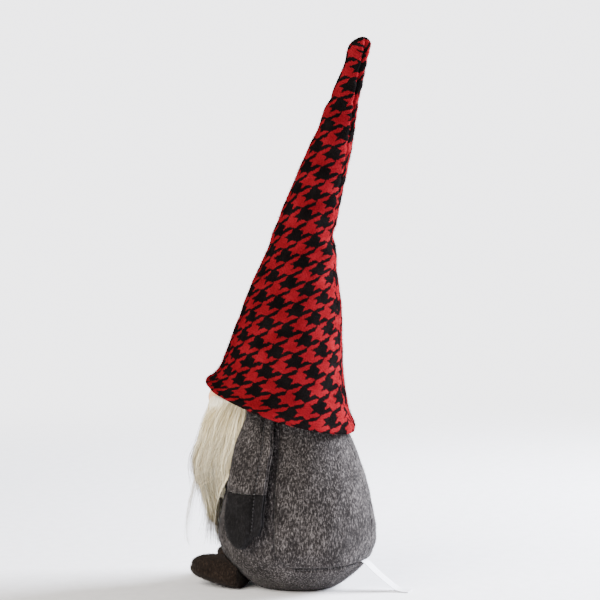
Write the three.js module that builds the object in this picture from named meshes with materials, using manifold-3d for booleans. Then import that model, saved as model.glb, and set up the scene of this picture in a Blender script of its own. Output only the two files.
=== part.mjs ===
// A tomte: a stuffed felt gnome in a tall wool hat, in millimetres.
// +Z is up, the gnome faces -Y and its left side is +X. The origin is the centre of the flat base it stands on.
import * as THREE from "three";
import { mergeVertices } from "three/addons/utils/BufferGeometryUtils.js";
import Module from "manifold-3d";

const wasm = await Module();
wasm.setup();

// ---------------------------------------------------------------- driving dimensions

// Cloths and play
const felt = 2.5; // body and foot felt
const armFelt = 1.8; // thinner felt of the arms and mittens
const hatWool = 2.4; // double-faced wool of the hat
const jersey = 1; // nose cover
const cotton = 0.8; // cloth of the weight bag
const sewn = 0.3; // play between pieces that are sewn or packed together

// Body, an egg that stands on a flat disc
const baseRadius = 31;
const baseRollWidth = 9; // how the felt rolls up from the base's edge
const baseRollHeight = 3;
const bellyRadius = 64;
const bellyHeight = 44;
const bodyHeight = 172;
const seamHeight = 22; // where the back panels meet the front panel's wrap under the belly
const seamCornerRadius = 16;
const sideSeamBack = 3; // side seam at the belly, behind the body's axis
const sideSeamLean = 6; // how far forward it drifts by the top
const boardThickness = 2;
const bagRadius = 40;
const bagHeight = 22;

// Hat
const headInHat = 25; // how far the head reaches above the middle of the brim
const brimOverhang = 29.5; // brim edge outside the head at that height
const brimTilt = THREE.MathUtils.degToRad(18); // front edge up
const brimBackRoom = 6.9; // between the head and the brim's edge behind it
const flareWidth = 8.5; // how far the brim stands out from the cone above it
const flareHeight = 19;
const bendHeight = 139; // where the hat bends, above the brim
const bendRadius = 25;
const bendBack = 6; // hat's middle behind the body's axis at the bend
const hatHeight = 296; // from the brim's centre to the tip
const tipBack = 55; // tip behind the body's axis
const tipRadius = 8.5;
const partingDrop = 13; // the two halves part this far below the bend's hinge
const faceRoom = 22; // room under the brim for the face, below the filling
const hemHeight = 12;
const hemThickness = 1.4;
const ballPlay = 1; // play in the ball-shaped parting where the hat bends

// Face
const noseRadius = 11;
const noseNeckRadius = 4;
const backingThickness = 2;
const backingHeight = 58;
const nosePlay = 2.5; // between the nose and the brim over it
const noseParting = 3; // room in the fur beside the nose
const noseSwing = 14; // room in the fur below it, for the beard's lift
const beardHalfWidth = 38;
const beardDrop = 97; // from the beard's top to its tip
const beardFullness = 33; // how far the fur stands in front of the belly
const beardSideY = -34; // the fur's sides stop here, in front of the arms
const beardClearance = 3; // between the beard and the body

// Arms
const armAngle = THREE.MathUtils.degToRad(19); // forward of the side
const sleeveTuck = 2.5; // sleeve's top edge below the middle of the brim
const armLength = 106;
const armWidth = 31;
const armForward = 3; // arm's middle in front of that line
const armSweep = 7; // how far the hand hangs behind the shoulder
const shoulderNarrowing = 0.72; // width of the gathered shoulder as a share of the arm's
const armThickness = 12;
const armClearance = 2; // between the arm and the body
const flangeWidth = 6; // seam allowance left standing along the arm's rear edge
const flangeThickness = 4;
const mittenLength = 44;
const threadRadius = 1.2;
const threadLength = 3.6;

// Feet
const footLength = 62;
const footWidth = 38;
const footThickness = 22;
const footSpread = 28; // foot centre from the middle
const footForward = 50;
const toeLift = THREE.MathUtils.degToRad(8);
const footClearance = 0.8; // between the foot and the body it is pressed against
const footHeel = 36; // the foot ends this far in front of the body's axis
const footRaise = 1.8; // of the pad's middle, for its tilt

// Care label
const labelWidth = 13;
const labelThickness = 0.8;
const labelReach = 39; // how far it reaches behind the seam that holds it

// Mesh fineness
const bodySegments = 32;
const hatSegments = 24;
const smallSegments = 16;
const beyond = 400; // longer than the gnome, for cutters

// ---------------------------------------------------------------- materials

function material(colour, roughness) {
  return new THREE.MeshStandardMaterial({ color: colour, roughness, metalness: 0 });
}

const greyFelt = material(0x5b5856, 0.95);
const charcoalFelt = material(0x2b2928, 0.95);
const brownFelt = material(0x2c2622, 0.95);
const hatCloth = material(0x8f1a20, 0.95);
const skinJersey = material(0xe6bf9f, 0.8);
const whiteFur = material(0xe4e1d2, 0.85);
const paleCloth = material(0xcfc8b8, 0.9);
const fibreFill = material(0xf2f0ea, 1);
const sand = material(0xb9a684, 0.9);
const greyBoard = material(0x9a8c76, 0.85);
const satin = material(0xf3f3f5, 0.35);
const darkThread = material(0x1d1c1d, 0.7);

// ---------------------------------------------------------------- solids

// A closed geometry as a manifold-3d solid.
function solid(geometry) {
  const bare = geometry.index ? geometry.toNonIndexed() : geometry.clone();
  bare.deleteAttribute("normal");
  bare.deleteAttribute("uv");
  const merged = mergeVertices(bare, 1e-3);
  const vertProperties = merged.attributes.position.array;
  const triVerts = new Uint32Array(merged.index.array);
  return new wasm.Manifold(new wasm.Mesh({ numProp: 3, vertProperties, triVerts }));
}

// A named three.js mesh of a manifold-3d solid.
function mesh(name, cloth, shape) {
  const { vertProperties, triVerts } = shape.getMesh();
  const geometry = new THREE.BufferGeometry();
  geometry.setAttribute("position", new THREE.BufferAttribute(vertProperties, 3));
  geometry.setIndex(new THREE.BufferAttribute(triVerts, 1));
  geometry.computeVertexNormals();
  const made = new THREE.Mesh(geometry, cloth);
  made.name = name;
  return made;
}

// Outline points (radius, height) turned round the Z axis. The outline starts and ends on the axis.
function revolve(points, segments = bodySegments) {
  return new THREE.LatheGeometry(points, segments).rotateX(Math.PI / 2);
}

function cylinder(radius, z0, z1, segments = bodySegments) {
  const corners = [
    new THREE.Vector2(0, z0),
    new THREE.Vector2(radius, z0),
    new THREE.Vector2(radius, z1),
    new THREE.Vector2(0, z1),
  ];
  return solid(revolve(corners, segments));
}

// A side-view outline (y, z) made as deep as depth along X, centred.
function sidePrism(shape, depth) {
  const along = new THREE.ExtrudeGeometry(shape, { depth, bevelEnabled: false, curveSegments: 8 });
  const toSide = new THREE.Matrix4().makeBasis(
    new THREE.Vector3(0, 1, 0),
    new THREE.Vector3(0, 0, 1),
    new THREE.Vector3(1, 0, 0),
  );
  return solid(along.translate(0, 0, -depth / 2).applyMatrix4(toSide));
}

function box(x0, x1, y0, y1, z0, z1) {
  const made = new THREE.BoxGeometry(x1 - x0, y1 - y0, z1 - z0);
  return solid(made.translate((x0 + x1) / 2, (y0 + y1) / 2, (z0 + z1) / 2));
}

// A smooth path in a plane through the given points.
function spline(...points) {
  return new THREE.SplineCurve(points.map(([a, b]) => new THREE.Vector2(a, b)));
}

// Outline points moved inwards by depth, square to the outline. A point on the axis stays on it.
function inset(points, depth) {
  return points.map((p, i) => {
    const before = points[Math.max(i - 1, 0)];
    const after = points[Math.min(i + 1, points.length - 1)];
    const along = after.clone().sub(before).normalize();
    const onAxis = p.x < 1e-6;
    if (onAxis) return new THREE.Vector2(0, p.y - depth);
    return new THREE.Vector2(Math.max(p.x - along.y * depth, 0), p.y + along.x * depth);
  });
}

// The first value of a rising list of points where the second one is the given height.
function valueAt(points, height) {
  const above = points.findIndex((p) => p.y >= height);
  const i = above < 0 ? points.length - 1 : Math.max(1, above);
  return THREE.MathUtils.mapLinear(height, points[i - 1].y, points[i].y, points[i - 1].x, points[i].x);
}

// A cushion, blunter than an ellipsoid, centred on the origin with its poles along Z.
function cushion(halfX, halfY, halfZ, segments, steps) {
  const plump = (share) => Math.sign(share) * Math.abs(share) ** (3 / 4);
  const points = [];
  for (let i = 0; i <= steps; i++) {
    const turn = Math.PI * (i / steps - 0.5);
    const atPole = i === 0 || i === steps;
    points.push(new THREE.Vector2(atPole ? 0 : plump(Math.cos(turn)), plump(Math.sin(turn))));
  }
  return revolve(points, segments).scale(halfX, halfY, halfZ);
}

// Walls through rings of points, each ring an array of the same length, or of one point at a closed tip.
// With loop, the last ring joins the first, as in a tube that has a wall; otherwise both ends are tips.
function loft(rings, loop) {
  const corners = [];
  const wall = (a, b, c) => corners.push(...a.toArray(), ...b.toArray(), ...c.toArray());
  const joins = loop ? rings.length : rings.length - 1;
  for (let i = 0; i < joins; i++) {
    const low = rings[i];
    const high = rings[(i + 1) % rings.length];
    const count = Math.max(low.length, high.length);
    if (count === 1) continue;
    for (let k = 0; k < count; k++) {
      const next = (k + 1) % count;
      if (low.length > 1) wall(low[k], low[next], high[high.length > 1 ? next : 0]);
      if (high.length > 1) wall(low[low.length > 1 ? k : 0], high[next], high[k]);
    }
  }
  const made = new THREE.BufferGeometry();
  made.setAttribute("position", new THREE.Float32BufferAttribute(corners, 3));
  return solid(made);
}

// ---------------------------------------------------------------- body

const lowerCurve = new THREE.CubicBezierCurve(
  new THREE.Vector2(baseRadius, 0),
  new THREE.Vector2(baseRadius + baseRollWidth, baseRollHeight),
  new THREE.Vector2(bellyRadius, bellyHeight * 0.45),
  new THREE.Vector2(bellyRadius, bellyHeight),
);
const upperCurve = new THREE.CubicBezierCurve(
  new THREE.Vector2(bellyRadius, bellyHeight),
  new THREE.Vector2(bellyRadius, THREE.MathUtils.lerp(bellyHeight, bodyHeight, 0.28)),
  new THREE.Vector2(bellyRadius / 2, bodyHeight),
  new THREE.Vector2(0, bodyHeight),
);
const bodyOutline = [...lowerCurve.getPoints(4), ...upperCurve.getPoints(9).slice(1)];
const bodyFine = [...lowerCurve.getPoints(60), ...upperCurve.getPoints(120).slice(1)];

// The body's outside radius at a height.
function bodyRadiusAt(z) {
  return valueAt(bodyFine, z);
}

// The body's outside, grown by a margin, as one solid that reaches down to a height.
function bodySolid(margin, bottom = -margin) {
  const skin = inset(bodyOutline, -margin);
  return solid(revolve([new THREE.Vector2(0, bottom), new THREE.Vector2(skin[0].x, bottom), ...skin]));
}

// The space inside the body's felt, opened downwards through the base.
function bodyCavity() {
  const lining = inset(bodyOutline, felt);
  const mouth = new THREE.Vector2(lining[0].x, -felt);
  return solid(revolve([new THREE.Vector2(0, -felt), mouth, ...lining]));
}

// The side view of everything that the two back panels cover.
function backOutline(margin) {
  const corner = seamCornerRadius;
  const bottom = seamHeight - margin;
  const low = sideSeamBack - margin;
  const shape = new THREE.Shape();
  shape.moveTo(low - sideSeamLean, beyond);
  shape.lineTo(low - sideSeamLean, bodyHeight);
  shape.lineTo(low, bottom + corner);
  shape.absarc(low + corner, bottom + corner, corner, Math.PI, 1.5 * Math.PI, false);
  shape.lineTo(beyond, bottom);
  shape.lineTo(beyond, beyond);
  return shape;
}

const boardBottom = felt + sewn;
const bagBottom = boardBottom + boardThickness + sewn;

function basePanel() {
  const mouth = inset(bodyOutline, felt)[0].x;
  return cylinder(mouth - sewn, 0, felt);
}

function baseBoard() {
  const mouth = inset(bodyOutline, felt)[0].x;
  return cylinder(mouth - 2 * sewn, boardBottom, boardBottom + boardThickness);
}

// The weight bag, a plump round cushion, made smaller all round by a margin.
function bagSolid(margin) {
  const half = bagRadius - margin;
  const bag = cushion(half, half, bagHeight / 2 - margin, hatSegments, 6);
  return solid(bag.translate(0, 0, bagBottom + bagHeight / 2));
}

function bagHalves() {
  const cloth = bagSolid(0).subtract(bagSolid(cotton));
  const middle = bagBottom + bagHeight / 2;
  const above = box(-beyond, beyond, -beyond, beyond, middle + sewn / 2, beyond);
  const below = box(-beyond, beyond, -beyond, beyond, -beyond, middle - sewn / 2);
  return { top: cloth.intersect(above), bottom: cloth.intersect(below) };
}

function bodyStuffing() {
  const packed = inset(bodyOutline, felt + sewn);
  const start = new THREE.Vector2(0, packed[0].y);
  const whole = solid(revolve([start, ...packed]));
  const floor = cylinder(beyond, -beyond, bagBottom + felt);
  return whole.subtract(floor).subtract(bagSolid(-sewn));
}

function bodyParts() {
  const shell = bodySolid(0).subtract(bodyCavity());
  const front = shell.subtract(sidePrism(backOutline(sewn), beyond));
  const back = shell.intersect(sidePrism(backOutline(0), beyond));
  const leftSide = box(sewn / 2, beyond, -beyond, beyond, -beyond, beyond);
  const rightSide = box(-beyond, -sewn / 2, -beyond, beyond, -beyond, beyond);
  const bag = bagHalves();
  return [
    mesh("base_panel", greyFelt, basePanel()),
    mesh("base_board", greyBoard, baseBoard()),
    mesh("weight_bag_bottom", paleCloth, bag.bottom),
    mesh("weight_bag_top", paleCloth, bag.top),
    mesh("weight_fill", sand, bagSolid(cotton + sewn)),
    mesh("body_front_panel", greyFelt, front),
    mesh("body_back_panel_left", greyFelt, back.intersect(leftSide)),
    mesh("body_back_panel_right", greyFelt, back.intersect(rightSide)),
    mesh("body_stuffing", fibreFill, bodyStuffing()),
  ];
}

// ---------------------------------------------------------------- hat

// The hat is made upright over its brim's plane, then leaned. Its group stands at the brim's height.
const brimHeight = bodyHeight - headInHat;
const brimRadius = bodyRadiusAt(brimHeight) + brimOverhang;

// How far behind the body's axis the brim's back edge is. The tilt brings it down to a wider part of the body.
function brimBackReach() {
  let reach = bodyRadiusAt(brimHeight) + brimBackRoom;
  for (let i = 0; i < 12; i++) {
    reach = bodyRadiusAt(brimHeight - reach * Math.tan(brimTilt)) + brimBackRoom;
  }
  return reach;
}

const brimForward = brimRadius - brimBackReach(); // brim centre in front of the body's axis
const { lerp, clamp } = THREE.MathUtils;
const domeHeight = hatHeight - tipRadius; // where the rounded tip starts
const coneRadius = brimRadius - flareWidth;

// Radius against height above the brim.
const hatSide = spline(
  [brimRadius, 0],
  [coneRadius, flareHeight],
  [lerp(coneRadius, bendRadius, 0.52), lerp(flareHeight, bendHeight, 0.56)],
  [bendRadius, bendHeight],
  [lerp(bendRadius, tipRadius, 0.35), lerp(bendHeight, domeHeight, 0.39)],
  [lerp(bendRadius, tipRadius, 0.91), lerp(bendHeight, domeHeight, 0.8)],
  [tipRadius, domeHeight],
);

// How far behind the body's axis the hat's middle is, against height above the brim.
const hatSpine = spline(
  [-brimForward, 0],
  [lerp(-brimForward, bendBack, 0.25), lerp(0, bendHeight, 0.34)],
  [bendBack, bendHeight],
  [lerp(bendBack, tipBack, 0.38), lerp(bendHeight, hatHeight, 0.37)],
  [tipBack, hatHeight],
).getPoints(240);

function hatSpineAt(height) {
  return valueAt(hatSpine, clamp(height, 0, hatHeight));
}

// Leans an upright hat: its spine bends back and its brim tilts up in front.
function lean(geometry) {
  const tiltReach = 0.85 * bendHeight;
  const place = geometry.getAttribute("position");
  for (let i = 0; i < place.count; i++) {
    const [x, y, up] = [place.getX(i), place.getY(i), place.getZ(i)];
    const fade = clamp(1 - up / tiltReach, 0, 1) ** 2;
    place.setXYZ(i, x, y + hatSpineAt(up), up - y * Math.tan(brimTilt) * fade);
  }
  return geometry;
}

const hatOutline = hatSide.getPoints(12);
const domeSteps = 3;
for (let i = 1; i <= domeSteps; i++) {
  const turn = (i / domeSteps) * (Math.PI / 2);
  const radius = i === domeSteps ? 0 : tipRadius * Math.cos(turn);
  hatOutline.push(new THREE.Vector2(radius, domeHeight + tipRadius * Math.sin(turn)));
}

// The hat's outside between two heights above the brim, made smaller all round by a margin.
// Where no upper height is given it reaches the tip.
function hatSolid(margin, from, to = Infinity) {
  const skin = inset(hatOutline, margin);
  const between = skin.filter((p) => p.y > from + 1 && p.y < to - 1);
  const bottom = [new THREE.Vector2(0, from), new THREE.Vector2(valueAt(skin, Math.max(from, skin[0].y)), from)];
  const top = to < hatHeight ? [new THREE.Vector2(valueAt(skin, to), to), new THREE.Vector2(0, to)] : [];
  return solid(lean(revolve([...bottom, ...between, ...top], hatSegments)));
}

const partingHeight = bendHeight - partingDrop;
const hatHinge = new THREE.Vector3(0, hatSpineAt(partingHeight), bendHeight);
const ballRadius = Math.hypot(valueAt(hatOutline, partingHeight), partingDrop);

function ballSocket() {
  const ball = new THREE.SphereGeometry(ballRadius + ballPlay, hatSegments, hatSegments / 2);
  return solid(ball.rotateX(Math.PI / 2).translate(...hatHinge.toArray()));
}

// The brim's hem, turned in and sewn down inside it.
function hatHem() {
  const outside = inset(hatOutline, hatWool + 2 * sewn);
  const inside = inset(hatOutline, hatWool + 2 * sewn + hemThickness);
  const heights = [sewn, (sewn + hemHeight) / 2, hemHeight];
  const face = (points) => heights.map((h) => new THREE.Vector2(valueAt(points, h), h));
  const start = face(outside)[0];
  return solid(lean(revolve([...face(outside), ...face(inside).reverse(), start], hatSegments)));
}

function hatParts() {
  const socket = ballSocket();
  const head = bodySolid(2 * sewn).translate([0, 0, -brimHeight]);
  const lower = hatSolid(0, 0, partingHeight).subtract(hatSolid(hatWool, -10, partingHeight + 10));
  const upper = hatSolid(0, partingHeight + sewn).subtract(hatSolid(hatWool, partingHeight - 10));
  const lowerFill = hatSolid(hatWool + sewn, faceRoom, partingHeight).subtract(head);
  const upperFill = hatSolid(hatWool + sewn, partingHeight + sewn);
  return [
    mesh("hat_lower_cone", hatCloth, lower.subtract(socket)),
    mesh("hat_upper_cone", hatCloth, upper),
    mesh("hat_hem", hatCloth, hatHem()),
    mesh("hat_stuffing_lower", fibreFill, lowerFill.subtract(socket)),
    mesh("hat_stuffing_upper", fibreFill, upperFill),
  ];
}

// ---------------------------------------------------------------- nose and beard

// The nose sits under the brim's front edge and looks out a little past it.
const noseY = -brimForward - brimRadius * Math.cos(brimTilt) + 0.5 * noseRadius;
const brimFloorAtNose = brimHeight + (-brimForward - noseY) * Math.tan(brimTilt);
const noseZ = brimFloorAtNose - noseRadius - nosePlay;

// The nose is made about its own centre.
function noseParts() {
  const toHead = -noseY - bodyRadiusAt(noseZ - noseNeckRadius) - sewn;
  const ball = (radius) => solid(new THREE.SphereGeometry(radius, smallSegments, 10));
  const rod = (radius, y0, y1) => {
    const made = new THREE.CylinderGeometry(radius, radius, y1 - y0, smallSegments);
    return solid(made.translate(0, (y0 + y1) / 2, 0));
  };
  const neckStart = noseRadius - jersey - 2 * sewn;
  const hole = rod(noseNeckRadius + sewn, neckStart - sewn, toHead);
  return [
    mesh("nose_cover", skinJersey, ball(noseRadius).subtract(ball(noseRadius - jersey)).subtract(hole)),
    mesh("nose_stuffing", fibreFill, ball(noseRadius - jersey - sewn).subtract(hole)),
    mesh("nose_neck", skinJersey, rod(noseNeckRadius, neckStart, toHead)),
  ];
}

const beardTop = noseZ - 1;
const backingTop = beardTop + 5;
const backingBottom = backingTop - backingHeight;
const partingHalf = noseRadius + noseParting;
const partingBottom = noseZ - noseRadius - noseSwing;

// The fur backing follows the front of the body and leaves room for the nose's neck.
function beardBacking() {
  const half = 0.7 * beardHalfWidth;
  const patch = box(-half, half, -beyond, beardSideY + 8, backingBottom, backingTop);
  const neckRoom = noseNeckRadius + 3;
  const neckNotch = box(-neckRoom, neckRoom, -beyond, 0, noseZ - noseNeckRadius - 6, beyond);
  return bodySolid(beardClearance + backingThickness)
    .subtract(bodySolid(beardClearance))
    .intersect(patch)
    .subtract(neckNotch);
}

// The fur: full and rounded in front, hollowed by the body behind, and tapering to a tip.
function beardPile() {
  const steps = 7;
  const sides = 8;
  const rings = [];
  for (let i = 0; i <= steps; i++) {
    const share = i / steps;
    const z = beardTop - share * beardDrop;
    const taper = THREE.MathUtils.smoothstep(share, 0.45, 1.02);
    const shoulders = THREE.MathUtils.lerp(0.8, 1, THREE.MathUtils.smoothstep(share, 0, 0.3));
    const half = beardHalfWidth * shoulders * (1 - 0.85 * taper);
    const belly = bodyRadiusAt(Math.max(z, bellyHeight));
    const full = THREE.MathUtils.lerp(beardFullness + 8, beardFullness, share) * (1 - 0.6 * taper);
    const ring = [];
    for (let k = 0; k <= sides; k++) {
      const turn = (Math.PI * k) / sides;
      const crown = Math.sin(turn) ** 0.8;
      ring.push(new THREE.Vector3(half * Math.cos(turn), beardSideY - (belly + full + beardSideY) * crown, z));
    }
    rings.push(ring);
  }
  const middle = (ring) => [new THREE.Vector3(0, 2 * beardSideY, ring[0].z)];
  const whole = loft([middle(rings[0]), ...rings, middle(rings[steps])], false);
  const nosePart = box(-partingHalf, partingHalf, -beyond, 0, partingBottom, beyond);
  return whole.subtract(bodySolid(beardClearance + backingThickness + 2 * sewn)).subtract(nosePart);
}

function beardParts() {
  return [mesh("beard_backing", paleCloth, beardBacking()), mesh("beard_pile", whiteFur, beardPile())];
}

// ---------------------------------------------------------------- arms

const armTop = brimHeight - sleeveTuck;

// A point of the left arm: across towards the rear, out from the body, and down from the sleeve's top.
function armPoint(across, out, down) {
  const z = armTop - down;
  const swept = across - armForward + armSweep * (down / armLength - 0.5);
  const reach = bodyRadiusAt(z) + armClearance + armThickness / 2 + out;
  const [sin, cos] = [Math.sin(armAngle), Math.cos(armAngle)];
  return new THREE.Vector3(reach * cos + swept * sin, -reach * sin + swept * cos, z);
}

// One ring of the arm's section at a depth down the arm. With a flange it has the standing seam allowance.
function armRing(halfWidth, halfThickness, down, flange) {
  const sides = 12;
  const halfFlange = Math.min(flangeThickness / 2, 0.8 * halfThickness);
  const root = Math.asin(halfFlange / halfThickness);
  const ring = [];
  for (let k = 0; k < sides; k++) {
    const turn = (2 * Math.PI * (k + 0.5)) / sides;
    const first = k === 0;
    const last = k === sides - 1;
    const seam = flange && (first || last);
    const out = seam ? (first ? halfFlange : -halfFlange) : halfThickness * Math.sin(turn);
    const across = seam ? halfWidth * Math.cos(root) + flange : halfWidth * Math.cos(turn);
    ring.push(armPoint(across, out, down));
  }
  return ring;
}

const sleeveLength = armLength - mittenLength;
const halfArm = armWidth / 2;
const halfThick = armThickness / 2;

// Depths of the rings down the sleeve.
function sleeveDepths(start, end) {
  const steps = 5;
  return Array.from({ length: steps + 1 }, (_, i) => Math.max(start, (end * i) / steps));
}

// How much narrower the sleeve is towards its gathered top, from the share at the top to 1.
function shoulderShare(down) {
  const gather = 0.5 * sleeveLength;
  return THREE.MathUtils.lerp(shoulderNarrowing, 1, THREE.MathUtils.smoothstep(down, 0, gather));
}

// How far the rounded hand has narrowed at a depth down the arm, from 1 to 0 at its end.
function handShare(down, end) {
  const round = 0.75 * armWidth;
  const into = Math.max(0, down - (end - round)) / round;
  return Math.sqrt(Math.max(0, 1 - into * into));
}

function sleeve() {
  const depths = sleeveDepths(0, sleeveLength - sewn);
  const width = (d) => halfArm * shoulderShare(d);
  const outer = depths.map((d) => armRing(width(d), halfThick, d, flangeWidth * shoulderShare(d) ** 4));
  const inner = depths.map((d) => armRing(width(d) - armFelt, halfThick - armFelt, d, 0)).reverse();
  return loft([...outer, ...inner], true);
}

// Rings down the hand, made smaller all round by a margin, to its closed tip.
function handRings(start, margin, flange) {
  const steps = 5;
  const end = armLength - margin;
  const depths = Array.from({ length: steps }, (_, i) => {
    const share = Math.sin((i / steps) * (Math.PI / 2));
    return start + (end - start) * share;
  });
  const rings = depths.map((d) => {
    const share = handShare(d, end);
    return armRing((halfArm - margin) * share, (halfThick - margin) * Math.sqrt(share), d, flange * share);
  });
  return [...rings, [armPoint(0, 0, end)]];
}

function mitten() {
  const outer = handRings(sleeveLength, 0, flangeWidth);
  const inner = handRings(sleeveLength, armFelt, 0).reverse();
  return loft([...outer, ...inner], true);
}

function armStuffing() {
  const margin = armFelt + sewn;
  const top = armPoint(0, 0, margin);
  const depths = sleeveDepths(margin, sleeveLength - sewn);
  const sleeveRings = depths.map((d) => armRing(halfArm * shoulderShare(d) - margin, halfThick - margin, d, 0));
  return loft([[top], ...sleeveRings, ...handRings(sleeveLength, margin, 0)], false);
}

// The tack of thread that ties the sleeve's top edge to the head. The arm hangs and swings from it.
function armThread() {
  const z = armTop + threadRadius + 4 * sewn;
  const start = bodyRadiusAt(z - threadRadius) + 5 * sewn;
  const end = start + threadLength;
  const rod = new THREE.CylinderGeometry(threadRadius, threadRadius, threadLength, 10);
  const towardFront = armAngle + Math.asin(armForward / end);
  return solid(rod.rotateZ(-Math.PI / 2).translate((start + end) / 2, 0, z).rotateZ(-towardFront));
}

function armParts(side) {
  return [
    mesh(`arm_${side}_sleeve`, greyFelt, sleeve()),
    mesh(`arm_${side}_mitten`, charcoalFelt, mitten()),
    mesh(`arm_${side}_stuffing`, fibreFill, armStuffing()),
    mesh(`arm_${side}_thread`, darkThread, armThread()),
  ];
}

// ---------------------------------------------------------------- feet

// A foot is made level about its pad's centre. Its group tilts it and puts it under the body's front.
const footPlace = new THREE.Group();
footPlace.position.set(footSpread, -footForward, footThickness / 2 + footRaise);
footPlace.rotation.x = -toeLift;
footPlace.updateMatrix();

// A solid of the gnome's frame as it lies in the foot's own.
function fromFoot(shape) {
  return shape.transform(footPlace.matrix.clone().invert().elements);
}

function footPad(margin) {
  const [x, y, z] = [footWidth, footLength, footThickness].map((size) => size / 2 - margin);
  return solid(cushion(x, y, z, smallSegments, 8));
}

function footParts(side) {
  const behind = box(-beyond, beyond, -footHeel, beyond, -beyond, beyond);
  const room = fromFoot(bodySolid(footClearance, -beyond).add(behind));
  const cover = footPad(0).subtract(footPad(felt)).subtract(room);
  const above = box(-beyond, beyond, -beyond, beyond, sewn / 2, beyond);
  const below = box(-beyond, beyond, -beyond, beyond, -beyond, -sewn / 2);
  return [
    mesh(`foot_${side}_upper`, brownFelt, cover.intersect(above)),
    mesh(`foot_${side}_sole`, brownFelt, cover.intersect(below)),
    mesh(`foot_${side}_stuffing`, fibreFill, footPad(felt + sewn).subtract(room)),
  ];
}

// ---------------------------------------------------------------- care label

function label() {
  const start = bodyRadiusAt(seamHeight) + sewn + labelThickness;
  const drop = seamHeight + 1;
  const line = new THREE.QuadraticBezierCurve(
    new THREE.Vector2(start, drop),
    new THREE.Vector2(start + 0.6 * labelReach, labelThickness),
    new THREE.Vector2(start + labelReach, labelThickness / 2 + sewn),
  ).getPoints(8);
  const face = (offset) => inset(line, offset);
  const strip = new THREE.Shape([...face(-labelThickness / 2), ...face(labelThickness / 2).reverse()]);
  return mesh("care_label", satin, sidePrism(strip, labelWidth));
}

// ---------------------------------------------------------------- the gnome

function group(...members) {
  const made = new THREE.Group();
  made.add(...members);
  return made;
}

const body = group(...bodyParts(), label());

const hat = group(...hatParts());
hat.position.z = brimHeight;

const nose = group(...noseParts());
nose.position.set(0, noseY, noseZ);

const face = group(nose, ...beardParts());

// The right arm and foot mirror the left ones.
const limbs = ["left", "right"].map((side) => {
  const foot = footPlace.clone().add(...footParts(side));
  const made = group(foot, ...armParts(side));
  made.scale.x = side === "left" ? 1 : -1;
  return made;
});

const gnome = group(body, hat, face, ...limbs);

export default gnome;
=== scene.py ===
"""A stuffed felt gnome in a tall wool hat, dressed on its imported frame.

Lengths in the functions are millimetres."""

import math

import bpy
import numpy as np
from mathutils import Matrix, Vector


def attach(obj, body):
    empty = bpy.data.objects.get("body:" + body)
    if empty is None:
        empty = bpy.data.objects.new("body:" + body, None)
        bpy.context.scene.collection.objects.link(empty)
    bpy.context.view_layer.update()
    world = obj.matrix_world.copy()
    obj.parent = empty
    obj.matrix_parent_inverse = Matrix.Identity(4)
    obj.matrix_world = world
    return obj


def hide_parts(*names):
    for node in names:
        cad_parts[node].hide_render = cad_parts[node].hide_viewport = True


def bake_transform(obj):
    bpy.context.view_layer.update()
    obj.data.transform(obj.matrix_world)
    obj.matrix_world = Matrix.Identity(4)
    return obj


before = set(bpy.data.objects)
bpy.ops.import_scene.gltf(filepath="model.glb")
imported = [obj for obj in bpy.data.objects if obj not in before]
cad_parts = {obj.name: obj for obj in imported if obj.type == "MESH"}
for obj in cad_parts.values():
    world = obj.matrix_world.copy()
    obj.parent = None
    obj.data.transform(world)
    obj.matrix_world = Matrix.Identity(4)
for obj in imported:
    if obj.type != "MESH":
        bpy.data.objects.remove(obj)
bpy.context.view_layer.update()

MM = 0.001
SEED = 7

# Sizes that the frame was cut to, in millimetres
BASE_RADIUS = 31
BELLY_RADIUS = 64
BELLY_HEIGHT = 44
BODY_HEIGHT = 172
SEAM_HEIGHT = 22
SEAM_CORNER = 16
SIDE_SEAM_BACK = 3
SIDE_SEAM_LEAN = 6

HAT_WOOL = 2.4
BRIM_HEIGHT = 147
BRIM_RADIUS = 60.2
CONE_RADIUS = 51.7
FLARE_HEIGHT = 19
BEND_RADIUS = 25
BEND_HEIGHT = 139
TIP_RADIUS = 8.5
HAT_HEIGHT = 296
BRIM_FORWARD = 14.2
BEND_BACK = 6
TIP_BACK = 55
BRIM_TILT = math.radians(18)
HEM_HEIGHT = 12
BRIM_ROLL = 4.6
SEAM_TWIST = math.radians(43)

ARM_TOP = 144.5
ARM_LENGTH = 106
ARM_WIDTH = 31
ARM_THICKNESS = 12
ARM_FORWARD = 3
ARM_SWEEP = 7
ARM_CLEARANCE = 2
ARM_ANGLE = math.radians(19)
FLANGE_WIDTH = 6
MITTEN_LENGTH = 44
SHOULDER_NARROWING = 0.72

BEARD_TOP = 149.3
BEARD_DROP = 97
BEARD_HALF_WIDTH = 38
BEARD_FULLNESS = 33
BEARD_SIDE_Y = -34
BACKING_BOTTOM = 96.5
BACKING_TOP = 153
BACKING_HALF_WIDTH = 26

NOSE_PLACE = (0, -66.0, 150.3)
NOSE_RADIUS = 11

FOOT_PLACE = (28, -50, 12.8)
FOOT_SIZE = (38, 62, 22)
TOE_LIFT = math.radians(8)
FOOT_HEEL = 36
FOOT_GAP = 0.8

STITCH_SPACING = 2.8
THREAD_RADIUS = 0.45
FIBRE_WIDTH = 0.16
CHECK_REPEAT = 17.3
CHECK_THREADS = 8


# ---------------------------------------------------------------- curves and shapes


def bezier(points, steps):
    """A cubic curve through two of its four points."""
    a, b, c, d = (np.array(p, float) for p in points)
    t = np.linspace(0, 1, steps)[:, None]
    return a * (1 - t) ** 3 + 3 * b * t * (1 - t) ** 2 + 3 * c * t * t * (1 - t) + d * t**3


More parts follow.
